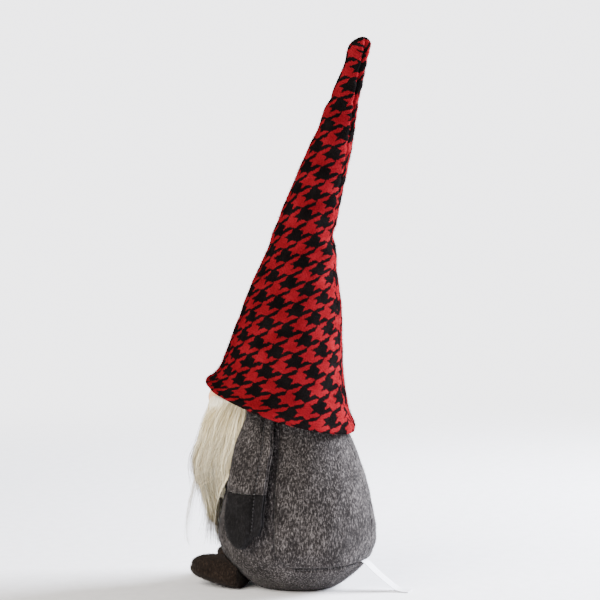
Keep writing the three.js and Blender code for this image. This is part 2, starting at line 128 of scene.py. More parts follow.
def smooth_path(points, steps):
    """A smooth path through the given points."""
    p = np.array(points, float)
    p = np.vstack([p[:1], p, p[-1:]])
    pieces = []
    for i in range(1, len(p) - 2):
        t = np.linspace(0, 1, steps, endpoint=False)[:, None]
        v0 = (p[i + 1] - p[i - 1]) / 2
        v1 = (p[i + 2] - p[i]) / 2
        cubic = (2 * p[i] - 2 * p[i + 1] + v0 + v1) * t**3
        square = (-3 * p[i] + 3 * p[i + 1] - 2 * v0 - v1) * t**2
        pieces.append(cubic + square + v0 * t + p[i])
    return np.vstack([*pieces, p[-1:]])


def even_path(path, share):
    """Points along a path at shares of its length, 0 to 1."""
    step = np.hypot(*np.diff(path, axis=0).T)
    along = np.concatenate([[0], np.cumsum(step)])
    where = share * along[-1]
    return np.interp(where, along, path[:, 0]), np.interp(where, along, path[:, 1])


def path_length(path):
    return float(np.hypot(*np.diff(path, axis=0).T).sum())


def smoothstep(x, low, high):
    t = np.clip((x - low) / (high - low), 0, 1)
    return t * t * (3 - 2 * t)


def ripple(x, y, z, size, seed):
    """A gentle uneven wave between -1 and 1, about size millimetres from crest to crest."""
    rng = np.random.default_rng(seed)
    total = 0
    for _ in range(7):
        direction = rng.normal(size=3)
        direction /= np.linalg.norm(direction)
        wave = 2 * math.pi / (size * rng.uniform(0.7, 1.5))
        along = direction[0] * x + direction[1] * y + direction[2] * z
        total = total + np.sin(along * wave + rng.uniform(0, 6.3))
    return total / 3.2


BODY_PROFILE = np.vstack(
    [
        bezier(
            [
                (BASE_RADIUS, 0),
                (BASE_RADIUS + 9, 3),
                (BELLY_RADIUS, 0.45 * BELLY_HEIGHT),
                (BELLY_RADIUS, BELLY_HEIGHT),
            ],
            80,
        ),
        bezier(
            [
                (BELLY_RADIUS, BELLY_HEIGHT),
                (BELLY_RADIUS, BELLY_HEIGHT + 0.28 * (BODY_HEIGHT - BELLY_HEIGHT)),
                (BELLY_RADIUS / 2, BODY_HEIGHT),
                (0, BODY_HEIGHT),
            ],
            160,
        )[1:],
    ]
)

HAT_PROFILE = smooth_path(
    [
        (BRIM_RADIUS - BRIM_ROLL, 1.6),
        (BRIM_RADIUS - 0.65 * BRIM_ROLL, -0.9),
        (BRIM_RADIUS - 0.2 * BRIM_ROLL, -0.8),
        (BRIM_RADIUS, 1.2),
        (CONE_RADIUS, FLARE_HEIGHT),
        (37.8, 86),
        (BEND_RADIUS, BEND_HEIGHT),
        (19.2, 197),
        (10, 258),
        (TIP_RADIUS, HAT_HEIGHT - TIP_RADIUS),
    ],
    24,
)
HAT_DOME = np.array(
    [
        (TIP_RADIUS * math.cos(a), HAT_HEIGHT - TIP_RADIUS + TIP_RADIUS * math.sin(a))
        for a in np.linspace(0.1, math.pi / 2, 12)
    ]
)
HAT_OUTLINE = np.vstack([HAT_PROFILE, HAT_DOME])
HAT_SPINE = smooth_path(
    [(-BRIM_FORWARD, 0), (-9.2, 47.3), (BEND_BACK, BEND_HEIGHT), (24.6, 197), (TIP_BACK, HAT_HEIGHT)],
    40,
)


def body_radius(z):
    return np.interp(z, BODY_PROFILE[:, 1], BODY_PROFILE[:, 0])


def round_the_axis(azimuth, radius, z):
    """A point at an azimuth from the front, towards the gnome's left."""
    return np.stack([radius * np.sin(azimuth), -radius * np.cos(azimuth), z], axis=-1)


def lean_hat(azimuth, radius, up):
    """A point of the upright hat, leaned as the hat stands."""
    x = radius * np.sin(azimuth)
    y = -radius * np.cos(azimuth)
    spine = np.interp(up, HAT_SPINE[:, 1], HAT_SPINE[:, 0])
    fade = np.clip(1 - up / (0.85 * BEND_HEIGHT), 0, 1) ** 2
    return np.stack([x, y + spine, BRIM_HEIGHT + up - y * math.tan(BRIM_TILT) * fade], axis=-1)


def back_reach(y, z):
    """How far a point of the body lies inside the back panels' outline, in the side view."""
    seam_foot = SEAM_HEIGHT + SEAM_CORNER
    side = SIDE_SEAM_BACK - SIDE_SEAM_LEAN * (z - seam_foot) / (BODY_HEIGHT - seam_foot)
    a = y - side
    b = z - SEAM_HEIGHT
    corner = SEAM_CORNER - np.hypot(SEAM_CORNER - a, SEAM_CORNER - b)
    return np.where((a < SEAM_CORNER) & (b < SEAM_CORNER), corner, np.minimum(a, b))


# ---------------------------------------------------------------- making pieces


def deselect():
    if bpy.context.object and bpy.context.object.mode != "OBJECT":
        bpy.ops.object.mode_set(mode="OBJECT")
    bpy.ops.object.select_all(action="DESELECT")


def pick(piece):
    deselect()
    piece.select_set(True)
    bpy.context.view_layer.objects.active = piece


def points_of(piece):
    co = np.empty(len(piece.data.vertices) * 3)
    piece.data.vertices.foreach_get("co", co)
    return co.reshape(-1, 3) / MM


def place_points(piece, points):
    piece.data.vertices.foreach_set("co", (points * MM).astype(np.float32).ravel())
    piece.data.update()


def edit(piece, *steps):
    """Runs mesh operators on the whole piece, each a pair of an operator and its settings."""
    pick(piece)
    bpy.ops.object.mode_set(mode="EDIT")
    bpy.ops.mesh.select_all(action="SELECT")
    for operator, settings in steps:
        operator(**settings)
    bpy.ops.object.mode_set(mode="OBJECT")


def close_up(piece):
    """Fills every hole of a piece and turns its faces outwards."""
    edit(
        piece,
        (bpy.ops.mesh.fill_holes, {"sides": 0}),
        (bpy.ops.mesh.normals_make_consistent, {"inside": False}),
    )


def finish_with(piece, kind, **settings):
    """Adds one modifier with its settings and applies it."""
    pick(piece)
    modifier = piece.modifiers.new(kind.title(), kind)
    for key, value in settings.items():
        setattr(modifier, key, value)
    bpy.ops.object.modifier_apply(modifier=modifier.name)


def cut_cloth(name, across, down, shape, flat=None, closed=True):
    """A flat piece of cloth bent to a shape.

    shape(s, t) gives the place of each point, s across and t down, 0 to 1. flat(s, t) gives the same point
    on the uncut cloth, in millimetres, for a pattern that follows the threads."""
    deselect()
    bpy.ops.mesh.primitive_grid_add(x_subdivisions=across, y_subdivisions=down, size=1, calc_uvs=True)
    piece = bpy.context.object
    piece.name = name
    piece.data.name = name
    grid = points_of(piece) * MM
    s = np.clip(grid[:, 0] + 0.5, 0, 1)
    t = np.clip(grid[:, 1] + 0.5, 0, 1)
    if flat:
        cloth = flat(s, t) * MM
        corner = np.empty(len(piece.data.loops), np.int32)
        piece.data.loops.foreach_get("vertex_index", corner)
        piece.data.uv_layers[0].data.foreach_set("uv", cloth[corner].astype(np.float32).ravel())
    place_points(piece, shape(s, t))
    if closed:
        edit(
            piece,
            (bpy.ops.mesh.remove_doubles, {"threshold": 0.00002}),
            (bpy.ops.mesh.normals_make_consistent, {"inside": False}),
        )
    else:
        edit(piece, (bpy.ops.mesh.remove_doubles, {"threshold": 0.00002}))
    piece.data.shade_smooth()
    return piece


def face_outwards(piece, middle):
    """Turns an open piece's faces away from a middle point, in millimetres."""
    total = 0
    for face in piece.data.polygons:
        total += (face.center - Vector(middle) * MM).dot(face.normal) * face.area
    if total < 0:
        edit(piece, (bpy.ops.mesh.flip_normals, {}))
    return piece


def swell(piece, cap, pressure=4.0, pinned=None):
    """Fills a cloth piece as stuffing does: a short cloth simulation that moves no point further than cap."""
    rest = points_of(piece)
    if pinned is not None:
        group = piece.vertex_groups.new(name="sewn")
        group.add([int(i) for i in np.nonzero(pinned(rest))[0]], 1.0, "REPLACE")
    modifier = piece.modifiers.new("Filling", "CLOTH")
    cloth = modifier.settings
    cloth.quality = 4
    cloth.mass = 0.2
    cloth.tension_stiffness = 12
    cloth.compression_stiffness = 12
    cloth.shear_stiffness = 6
    cloth.bending_stiffness = 2
    cloth.use_pressure = True
    cloth.uniform_pressure_force = pressure
    cloth.effector_weights.gravity = 0
    if pinned is not None:
        cloth.vertex_group_mass = "sewn"
    scene = bpy.context.scene
    for step in range(1, 21):
        scene.frame_set(step)
    filled = piece.evaluated_get(bpy.context.evaluated_depsgraph_get())
    co = np.empty(len(filled.data.vertices) * 3)
    filled.data.vertices.foreach_get("co", co)
    move = co.reshape(-1, 3) / MM - rest
    piece.modifiers.remove(modifier)
    scene.frame_set(1)
    length = np.linalg.norm(move, axis=1, keepdims=True)
    place_points(piece, rest + move * np.minimum(1, cap / np.maximum(length, 1e-6)))
    if pinned is not None:
        piece.vertex_groups.clear()
    return piece


def join(name, pieces):
    deselect()
    for piece in pieces:
        piece.select_set(True)
    bpy.context.view_layer.objects.active = pieces[0]
    bpy.ops.object.join()
    pieces[0].name = name
    pieces[0].data.name = name
    return pieces[0]


def stitches(name, path, outward, length=2.0, sink=0.1):
    """A row of short thread stitches along a path of points, each a small bent rod lying on the cloth."""
    path = np.array(path, float)
    step = np.linalg.norm(np.diff(path, axis=0), axis=1)
    along = np.concatenate([[0], np.cumsum(step)])
    count = max(1, int(along[-1] / STITCH_SPACING))
    sides = 6
    rings = 5
    places = []
    faces = []
    for k in range(count):
        middle = (k + 0.5) / count * along[-1]
        base = len(places)
        for r in range(rings):
            share = r / (rings - 1) - 0.5
            at = middle + share * length
            point = np.array([np.interp(at, along, path[:, i]) for i in range(3)])
            ahead = np.array([np.interp(at + 0.3, along, path[:, i]) for i in range(3)])
            tangent = ahead - point
            if np.linalg.norm(tangent) < 1e-6:
                tangent = path[-1] - path[-2]
            tangent /= np.linalg.norm(tangent)
            out = np.array(outward(point), float)
            out -= out.dot(tangent) * tangent
            out /= np.linalg.norm(out)
            side = np.cross(tangent, out)
            arch = math.cos(share * math.pi)
            radius = THREAD_RADIUS * (0.35 + 0.65 * arch)
            centre = point + out * (THREAD_RADIUS * arch * 1.1 - sink)
            for q in range(sides):
                turn = 2 * math.pi * q / sides
                places.append(centre + radius * (math.cos(turn) * side + math.sin(turn) * out))
        for r in range(rings - 1):
            for q in range(sides):
                a = base + r * sides + q
                b = base + r * sides + (q + 1) % sides
                faces.append((a, b, b + sides, a + sides))
        faces.append(tuple(base + q for q in range(sides - 1, -1, -1)))
        faces.append(tuple(base + (rings - 1) * sides + q for q in range(sides)))
    mesh = bpy.data.meshes.new(name)
    mesh.from_pydata([tuple(p * MM) for p in places], [], faces)
    piece = bpy.data.objects.new(name, mesh)
    bpy.context.scene.collection.objects.link(piece)
    edit(piece, (bpy.ops.mesh.normals_make_consistent, {"inside": False}))
    mesh.shade_smooth()
    return piece


def nap(name, piece, count, length, seed, wanted=None):
    """Short loose fibres standing out of a cloth's face, each lying its own way. They show the cloth's own colours.
    Real ones are 0.03 mm thick, and these are drawn as coarse as they need to show."""
    rng = np.random.default_rng(seed)
    mesh = piece.data
    mesh.calc_loop_triangles()
    triangles = len(mesh.loop_triangles)
    corners = np.empty(triangles * 3, np.int32)
    loops = np.empty(triangles * 3, np.int32)
    areas = np.empty(triangles)
    mesh.loop_triangles.foreach_get("vertices", corners)
    mesh.loop_triangles.foreach_get("loops", loops)
    mesh.loop_triangles.foreach_get("area", areas)
    corners = corners.reshape(-1, 3)
    loops = loops.reshape(-1, 3)
    points = points_of(piece)
    if wanted is not None:
        areas = areas * wanted(points[corners].mean(axis=1))
    chosen = rng.choice(triangles, count, p=areas / areas.sum())
    share = rng.dirichlet((1, 1, 1), count)[..., None]
    roots = (points[corners[chosen]] * share).sum(axis=1)
    a, b, c = (points[corners[chosen, k]] for k in range(3))
    out = np.cross(b - a, c - a)
    out /= np.linalg.norm(out, axis=1, keepdims=True)
    lean = rng.normal(0, 1, (count, 3))
    ahead = out * rng.uniform(0.25, 1.0, (count, 1)) + lean * 0.55
    ahead /= np.linalg.norm(ahead, axis=1, keepdims=True)
    long = length * rng.uniform(0.45, 1.25, (count, 1))
    side = np.cross(ahead, lean)
    side *= FIBRE_WIDTH / 2 / np.maximum(np.linalg.norm(side, axis=1, keepdims=True), 1e-9)
    tips = roots + ahead * long
    places = np.stack([roots - out * 0.2 - side, roots - out * 0.2 + side, tips], axis=1).reshape(-1, 3)
    made = bpy.data.meshes.new(name)
    made.from_pydata(places * MM, [], np.arange(count * 3).reshape(-1, 3).tolist())
    if mesh.uv_layers:
        cloth = np.empty(len(mesh.loops) * 2)
        mesh.uv_layers[0].data.foreach_get("uv", cloth)
        at_root = (cloth.reshape(-1, 2)[loops[chosen]] * share).sum(axis=1)
        layer = made.uv_layers.new(name="UVMap")
        layer.data.foreach_set("uv", np.repeat(at_root, 3, axis=0).astype(np.float32).ravel())
    fibres = bpy.data.objects.new(name, made)
    bpy.context.scene.collection.objects.link(fibres)
    return fibres


# ---------------------------------------------------------------- materials


def linear(code, alpha=1.0):
    """A hex sRGB colour as linear values."""
    parts = [int(code[i : i + 2], 16) / 255 for i in (1, 3, 5)]
    return (*[c / 12.92 if c <= 0.04045 else ((c + 0.055) / 1.055) ** 2.4 for c in parts], alpha)


def new_material(name):
    """A material with an empty Principled surface, and the tree and surface to build on."""
    made = bpy.data.materials.new(name)
    made.use_nodes = True
    tree = made.node_tree
    return made, tree, tree.nodes["Principled BSDF"]


def add(tree, kind, inputs=None, **settings):
    """Adds a node with its settings. inputs gives each socket a value or another node's output."""
    made = tree.nodes.new("ShaderNode" + kind)
    for key, value in settings.items():
        setattr(made, key, value)
    for socket, value in (inputs or {}).items():
        if isinstance(value, bpy.types.NodeSocket):
            tree.links.new(value, made.inputs[socket])
        else:
            made.inputs[socket].default_value = value
    return made


def ramp(tree, factor, *stops):
    """A colour ramp through (place, hex colour) stops."""
    made = add(tree, "ValToRGB", {"Fac": factor})
    elements = made.color_ramp.elements
    while len(elements) < len(stops):
        elements.new(0.5)
    for element, (place, code) in zip(elements, stops):
        element.position = place
        element.color = linear(code)
    return made.outputs["Color"]


def houndstooth_wool():
    """Brushed woollen twill in a four-and-four houndstooth of red and black: fuzzy toothed checks, no gloss."""
    made, tree, surface = new_material("brushed_houndstooth_wool")
    cloth = add(tree, "TexCoord").outputs["UV"]
    thread = CHECK_REPEAT / CHECK_THREADS * MM
    nap = add(tree, "TexNoise", {"Vector": cloth, "Scale": 1 / (2.2 * MM), "Detail": 4.0, "Roughness": 0.75})
    centred = add(tree, "VectorMath", {0: nap.outputs["Color"], 1: (0.5, 0.5, 0.5)}, operation="SUBTRACT")
    spread = add(tree, "VectorMath", {0: centred.outputs[0], "Scale": 4.2 * MM}, operation="SCALE")
    ragged = add(tree, "VectorMath", {0: cloth, 1: spread.outputs[0]})
    counted = add(tree, "VectorMath", {0: ragged.outputs[0], "Scale": 1 / thread}, operation="SCALE")
    numbers = add(tree, "SeparateXYZ", {0: counted.outputs[0]})
    half = CHECK_THREADS // 2
    dark = []
    for socket in ("X", "Y"):
        turn = add(
            tree, "Math", {0: numbers.outputs[socket], 1: float(CHECK_THREADS)}, operation="FLOORED_MODULO"
        )
        above = add(tree, "Math", {0: turn.outputs[0], 1: half - 0.3}, operation="GREATER_THAN")
        dark.append(above.outputs[0])
    slant = add(tree, "Math", {0: numbers.outputs["X"], 1: numbers.outputs["Y"]}, operation="SUBTRACT")
    twill = add(tree, "Math", {0: slant.outputs[0], 1: 4.0}, operation="FLOORED_MODULO")
    over = add(tree, "Math", {0: twill.outputs[0], 1: 1.9}, operation="GREATER_THAN")
    check = add(tree, "Mix", {0: over.outputs[0], 2: dark[0], 3: dark[1]}, data_type="FLOAT")
    fibre = add(tree, "TexNoise", {"Vector": cloth, "Scale": 1 / (0.8 * MM), "Detail": 4.0, "Roughness": 0.7})
    cloud = add(tree, "TexNoise", {"Vector": cloth, "Scale": 1 / (14 * MM), "Detail": 2.0})
    tone = add(tree, "Mix", {0: 0.3, 2: fibre.outputs["Fac"], 3: cloud.outputs["Fac"]}, data_type="FLOAT")
    red = ramp(tree, tone.outputs[0], (0.3, "#3c060c"), (0.5, "#681016"), (0.72, "#8e1826"))
    black = ramp(tree, tone.outputs[0], (0.3, "#050405"), (0.5, "#0c0a0a"), (0.72, "#1d1919"))
    colour = add(tree, "Mix", {0: check.outputs[0], 6: red, 7: black}, data_type="RGBA")
    tree.links.new(colour.outputs[2], surface.inputs["Base Color"])
    height = add(tree, "Mix", {0: 0.35, 2: fibre.outputs["Fac"], 3: nap.outputs["Fac"]}, data_type="FLOAT")
    bump = add(tree, "Bump", {"Strength": 0.55, "Distance": 0.9 * MM, "Height": height.outputs[0]})
    tree.links.new(bump.outputs[0], surface.inputs["Normal"])
    surface.inputs["Roughness"].default_value = 1.0
    surface.inputs["Specular IOR Level"].default_value = 0.0
    return made


def wool_felt(name, dark, middle, light, fleck=1.0):
    """Pressed wool felt of blended fibres: a matt, short-haired salt-and-pepper surface, with fibres every way."""
    made, tree, surface = new_material(name)
    place = add(tree, "TexCoord").outputs["Object"]
    hairs = []
    for turn, squeeze in ((0.25, (1.0, 1.0, 0.26)), (-0.45, (1.0, 1.0, 0.3)), (1.1, (1.0, 0.4, 0.8))):
        laid = add(tree, "Mapping", {"Vector": place, "Rotation": (turn, turn / 2, turn), "Scale": squeeze})
        hair = add(
            tree,
            "TexNoise",
            {"Vector": laid.outputs[0], "Scale": 1 / (fleck * MM), "Detail": 3.0, "Roughness": 0.65, "Distortion": 0.4},
        )
        hairs.append(hair.outputs["Fac"])
    first = add(tree, "Mix", {0: 0.35, 2: hairs[0], 3: hairs[1]}, data_type="FLOAT")
    blended = add(tree, "Mix", {0: 0.2, 2: first.outputs[0], 3: hairs[2]}, data_type="FLOAT")
    cloud = add(tree, "TexNoise", {"Vector": place, "Scale": 1 / (16 * MM), "Detail": 2.0})
    tone = add(tree, "Mix", {0: 0.12, 2: blended.outputs[0], 3: cloud.outputs["Fac"]}, data_type="FLOAT")
    colour = ramp(tree, tone.outputs[0], (0.38, dark), (0.5, middle), (0.62, light))
    tree.links.new(colour, surface.inputs["Base Color"])
    bump = add(tree, "Bump", {"Strength": 0.5, "Distance": 0.6 * MM, "Height": blended.outputs[0]})
    tree.links.new(bump.outputs[0], surface.inputs["Normal"])
    surface.inputs["Roughness"].default_value = 0.95
    surface.inputs["Specular IOR Level"].default_value = 0.05
    surface.inputs["Sheen Weight"].default_value = 0.04
    surface.inputs["Sheen Roughness"].default_value = 0.5
    return made


def fur_pile(name, root, body, tip):
    """Long acrylic pile of faux fur: soft ivory fibres, darker at the roots and pale at the tips, a little glossy. The
    darker roots are painted shade among the hairs.
    """
    made, tree, surface = new_material(name)
    along = add(tree, "Attribute", attribute_name="along").outputs["Fac"]
    tone = add(tree, "Attribute", attribute_name="tone").outputs["Fac"]
    # colour along each hair, root to tip; a root colour darker than the body colour is painted shade where the hairs
    # cover one another
    colour = ramp(tree, along, (0.0, root), (0.35, body), (1.0, tip))
    shade = ramp(tree, tone, (0.0, "#e6e0cd"), (1.0, "#ffffff"))
    mixed = add(tree, "Mix", {0: 1.0, 6: colour, 7: shade}, data_type="RGBA", blend_type="MULTIPLY")
    tree.links.new(mixed.outputs[2], surface.inputs["Base Color"])
    surface.inputs["Roughness"].default_value = 0.55
    surface.inputs["Specular IOR Level"].default_value = 0.3
    surface.inputs["Sheen Weight"].default_value = 0.3
    return made


def under_fur():
    """The dense pile under the long hairs: the same ivory fibre, seen as fine upright streaks."""
    made, tree, surface = new_material("faux_fur_under_pile")
    place = add(tree, "TexCoord").outputs["Object"]
    laid = add(tree, "Mapping", {"Vector": place, "Scale": (1.0, 1.0, 0.06)})
    streak = add(tree, "TexNoise", {"Vector": laid.outputs[0], "Scale": 1 / (1.4 * MM), "Detail": 3.0})
    colour = ramp(tree, streak.outputs["Fac"], (0.35, "#cdc3a4"), (0.5, "#ebe2c6"), (0.65, "#fbf5e0"))
    tree.links.new(colour, surface.inputs["Base Color"])
    bump = add(tree, "Bump", {"Strength": 0.8, "Distance": 1.0 * MM, "Height": streak.outputs["Fac"]})
    tree.links.new(bump.outputs[0], surface.inputs["Normal"])
    surface.inputs["Roughness"].default_value = 0.8
    return made


def knit(name, dark, light, loop, sheen=0.2):
    """Fine knitted or woven cloth: small even loops, matt."""
    made, tree, surface = new_material(name)
    place = add(tree, "TexCoord").outputs["Object"]
    rows = add(tree, "TexWave", {"Vector": place, "Scale": 1 / (loop * MM) / 20, "Distortion": 1.5}, bands_direction="Z")
    loops = add(tree, "TexVoronoi", {"Vector": place, "Scale": 1 / (loop * MM)})
    height = add(tree, "Mix", {0: 0.5, 2: rows.outputs["Fac"], 3: loops.outputs["Distance"]}, data_type="FLOAT")
    cloud = add(tree, "TexNoise", {"Vector": place, "Scale": 1 / (6 * MM), "Detail": 3.0})
    colour = ramp(tree, cloud.outputs["Fac"], (0.35, dark), (0.65, light))
    tree.links.new(colour, surface.inputs["Base Color"])
    bump = add(tree, "Bump", {"Strength": 0.25, "Distance": 0.3 * MM, "Height": height.outputs[0]})
    tree.links.new(bump.outputs[0], surface.inputs["Normal"])
    surface.inputs["Roughness"].default_value = 0.85
    surface.inputs["Sheen Weight"].default_value = sheen
    return made


def satin_ribbon():
    """Woven polyester satin: white, smooth, softly glossy, with fine threads across its width."""
    made, tree, surface = new_material("white_satin_ribbon")
    place = add(tree, "TexCoord").outputs["Object"]
    threads = add(tree, "TexWave", {"Vector": place, "Scale": 1 / (0.5 * MM) / 20, "Distortion": 0.3}, bands_direction="X")
    colour = ramp(tree, threads.outputs["Fac"], (0.0, "#e6e7ec"), (1.0, "#f7f7fa"))
    tree.links.new(colour, surface.inputs["Base Color"])
    bump = add(tree, "Bump", {"Strength": 0.12, "Distance": 0.1 * MM, "Height": threads.outputs["Fac"]})
    tree.links.new(bump.outputs[0], surface.inputs["Normal"])
    surface.inputs["Roughness"].default_value = 0.38
    surface.inputs["Specular IOR Level"].default_value = 0.5
    return made


def sewing_thread():
    """Waxed spun polyester thread: near black, twisted, with a faint shine."""
    made, tree, surface = new_material("dark_sewing_thread")
    place = add(tree, "TexCoord").outputs["Object"]
    twist = add(tree, "TexWave", {"Vector": place, "Scale": 1 / (0.4 * MM) / 20}, bands_direction="DIAGONAL")
    colour = ramp(tree, twist.outputs["Fac"], (0.0, "#0b0a0b"), (1.0, "#232123"))
    tree.links.new(colour, surface.inputs["Base Color"])
    bump = add(tree, "Bump", {"Strength": 0.4, "Distance": 0.15 * MM, "Height": twist.outputs["Fac"]})
    tree.links.new(bump.outputs[0], surface.inputs["Normal"])
    surface.inputs["Roughness"].default_value = 0.6
    return made


def grainy(name, dark, light, grain, roughness):
    """A grainy matt material, such as board, sand or fibre filling, seen as fine specks."""
    made, tree, surface = new_material(name)
    place = add(tree, "TexCoord").outputs["Object"]
    speck = add(tree, "TexNoise", {"Vector": place, "Scale": 1 / (grain * MM), "Detail": 5.0, "Roughness": 0.7})
    colour = ramp(tree, speck.outputs["Fac"], (0.35, dark), (0.65, light))
    tree.links.new(colour, surface.inputs["Base Color"])
    bump = add(tree, "Bump", {"Strength": 0.4, "Distance": grain * MM, "Height": speck.outputs["Fac"]})
    tree.links.new(bump.outputs[0], surface.inputs["Normal"])
    surface.inputs["Roughness"].default_value = roughness
    return made


def table_top():
    """Matt pale card that fades out round its edge."""
    made, tree, surface = new_material("pale_card")
    place = add(tree, "TexCoord").outputs["Object"]
    fleck = add(tree, "TexNoise", {"Vector": place, "Scale": 90.0, "Detail": 4.0})
    colour = ramp(tree, fleck.outputs["Fac"], (0.3, "#eeeef0"), (0.7, "#f6f6f8"))
    tree.links.new(colour, surface.inputs["Base Color"])
    surface.inputs["Roughness"].default_value = 0.7
    far = add(tree, "VectorMath", {0: place}, operation="LENGTH")
    edge = add(
        tree, "MapRange", {0: far.outputs["Value"], 1: 0.5, 2: 1.25, 3: 0.0, 4: 1.0}, interpolation_type="SMOOTHSTEP"
    )
    clear = add(tree, "BsdfTransparent")
    shown = add(tree, "MixShader", {0: edge.outputs[0], 1: surface.outputs[0], 2: clear.outputs[0]})
    tree.links.new(shown.outputs[0], tree.nodes["Material Output"].inputs["Surface"])
    return made


HOUNDSTOOTH = houndstooth_wool()
GREY_FELT = wool_felt("heathered_grey_wool_felt", "#0b0909", "#262322", "#676260")
CHARCOAL_FELT = wool_felt("charcoal_wool_felt", "#080707", "#121111", "#242223")
BROWN_FELT = wool_felt("brown_black_wool_felt", "#0d0a08", "#1c1612", "#352c26")
# the darker root colour of this fur is painted shade among the hairs
FUR = fur_pile("ivory_faux_fur_pile", "#cbbf9b", "#f6ecc9", "#fff9e3")
FUR_TIPS = fur_pile("ivory_faux_fur_thin_tips", "#e2d8ba", "#bfb59b", "#6f6858")
UNDER_FUR = under_fur()
FUR_BACKING = knit("knitted_fur_backing", "#b9b19e", "#d2cab8", 1.0)
JERSEY = knit("peach_cotton_jersey", "#e8ae80", "#f4c79c", 0.6)
COTTON = knit("unbleached_cotton_calico", "#c4bca8", "#d8d0be", 0.5)
RIBBON = satin_ribbon()
THREAD = sewing_thread()
FILLING = grainy("polyester_fibre_filling", "#dedbd4", "#f6f4f0", 3.0, 0.95)
SAND = grainy("dry_sand", "#a08c68", "#cdbb98", 0.6, 0.9)
BOARD = grainy("grey_board", "#857a68", "#a89c88", 1.0, 0.85)


def dress(piece, material, slot, body, *stands_for):
    """Gives a finished piece its material, and the CAD body and nodes that it goes with. Its slot argument is not used.
    """
    piece.data.materials.clear()
    piece.data.materials.append(material)
    if body:
        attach(piece, body)
    if stands_for:
        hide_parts(*stands_for)
    return piece


# ---------------------------------------------------------------- camera, light and floor


def set_stage():
    azimuth = math.radians(110)
    elevation = math.radians(5)
    distance = 2.2
    seen = 0.4836
    towards = Vector(
        (
            math.sin(azimuth) * math.cos(elevation),
            -math.cos(azimuth) * math.cos(elevation),
            math.sin(elevation),
        )
    )
    right = Vector((math.cos(azimuth), math.sin(azimuth), 0))
    middle = Vector((0, 0, 0.2318)) + right * 0.002
    lens = bpy.data.cameras.new("portrait_camera")
    lens.sensor_width = 36
    lens.lens = 36 * distance / seen
    camera = bpy.data.objects.new("portrait_camera", lens)
    bpy.context.scene.collection.objects.link(camera)
    camera.location = middle + towards * distance
    camera.rotation_euler = (-towards).to_track_quat("-Z", "Y").to_euler()
    bpy.context.scene.camera = camera

    def softbox(name, place, size, power, colour):
        light = bpy.data.lights.new(name, "AREA")
        light.shape = "SQUARE"
        light.size = size
        light.energy = power
        light.color = linear(colour)[:3]
        lamp = bpy.data.objects.new(name, light)
        bpy.context.scene.collection.objects.link(lamp)
        lamp.location = place
        lamp.rotation_euler = (middle - Vector(place)).to_track_quat("-Z", "Y").to_euler()

    softbox("window_side", right * 1.5 - towards * 0.55 + Vector((0, 0, 0.95)), 1.0, 320, "#f1f4ff")
    softbox("front_fill", right * -1.2 + towards * 1.3 + Vector((0, 0, 1.2)), 1.6, 96, "#fff8ee")
    world = bpy.data.worlds.new("pale_room")
    bpy.context.scene.world = world
    world.use_nodes = True
    tree = world.node_tree
    seen_wall = add(tree, "Background", {"Color": linear("#f3f2f6"), "Strength": 4.2})
    lit_wall = add(tree, "Background", {"Color": linear("#f4f3f5"), "Strength": 0.40})
    path = add(tree, "LightPath")
    both = add(
        tree, "MixShader", {0: path.outputs["Is Camera Ray"], 1: lit_wall.outputs[0], 2: seen_wall.outputs[0]}
    )
    tree.links.new(both.outputs[0], tree.nodes["World Output"].inputs["Surface"])

    deselect()
    bpy.ops.mesh.primitive_circle_add(vertices=128, radius=1.3, fill_type="NGON")
    floor = bpy.context.object
    floor.name = "pale_table_top"
    place_points(floor, points_of(floor) + np.array([0, 0, -0.05]))
    floor.data.materials.append(table_top())


# ---------------------------------------------------------------- body

BODY_AROUND = 288
BODY_UP = 170


def body_skin():
    """The felt egg, with its seams pulled in, before it is parted into its three panels."""

    def shape(s, t):
        radius, z = even_path(BODY_PROFILE, t)
        return round_the_axis(2 * math.pi * s, radius, z)

    skin = cut_cloth("body_skin", BODY_AROUND, BODY_UP, shape)
    p = points_of(skin)
    out = outward_of_body(p)
    slack = 0.8 * ripple(*p.T, 46, 3) + 0.35 * ripple(*p.T, 17, 4)
    rise = smoothstep(p[:, 2], 0, 12)
    place_points(skin, p + out * ((slack - 0.7) * rise)[:, None])

    def sewn(points):
        x, y, z = points.T
        at_seam = np.abs(back_reach(y, z)) < 1.0
        at_back = (np.abs(x) < 0.8) & (y > 0) & (z > SEAM_HEIGHT)
        return at_seam | at_back | (z < 8)

    swell(skin, 1.0, 1.0, sewn)
    p = points_of(skin)
    p = snap_to_seams(p)
    out = outward_of_body(p)
    x, y, z = p.T
    reach = back_reach(y, z)
    back = np.where((reach > 0) & (y > 0), np.abs(x), 99)
    side = np.abs(reach)
    tuck = 1.3 * np.exp(-((side / 1.1) ** 2)) - 0.3 * np.exp(-(((side - 3.2) / 1.8) ** 2))
    tuck += (0.25 + 0.5 * smoothstep(-z, -42, -30)) * np.exp(-((back / 0.9) ** 2))
    near = np.minimum(side, back)
    pucker = 0.15 * np.exp(-((near / 4.0) ** 2)) * np.sin((x + y + z) * 2 * math.pi / STITCH_SPACING)
    place_points(skin, p - out * (tuck + pucker)[:, None])
    return skin


def outward_of_body(p):
    """Directions square to the egg at points on it."""
    radius = np.hypot(p[:, 0], p[:, 1])
    slope = (body_radius(p[:, 2] + 0.6) - body_radius(p[:, 2] - 0.6)) / 1.2
    slope = np.where(p[:, 2] < 1, 0.6, slope)
    out = np.stack([p[:, 0], p[:, 1], -slope * np.maximum(radius, 0.5)], axis=-1)
    out[radius < 0.5] = (0, 0, 1)
    return out / np.linalg.norm(out, axis=1, keepdims=True)


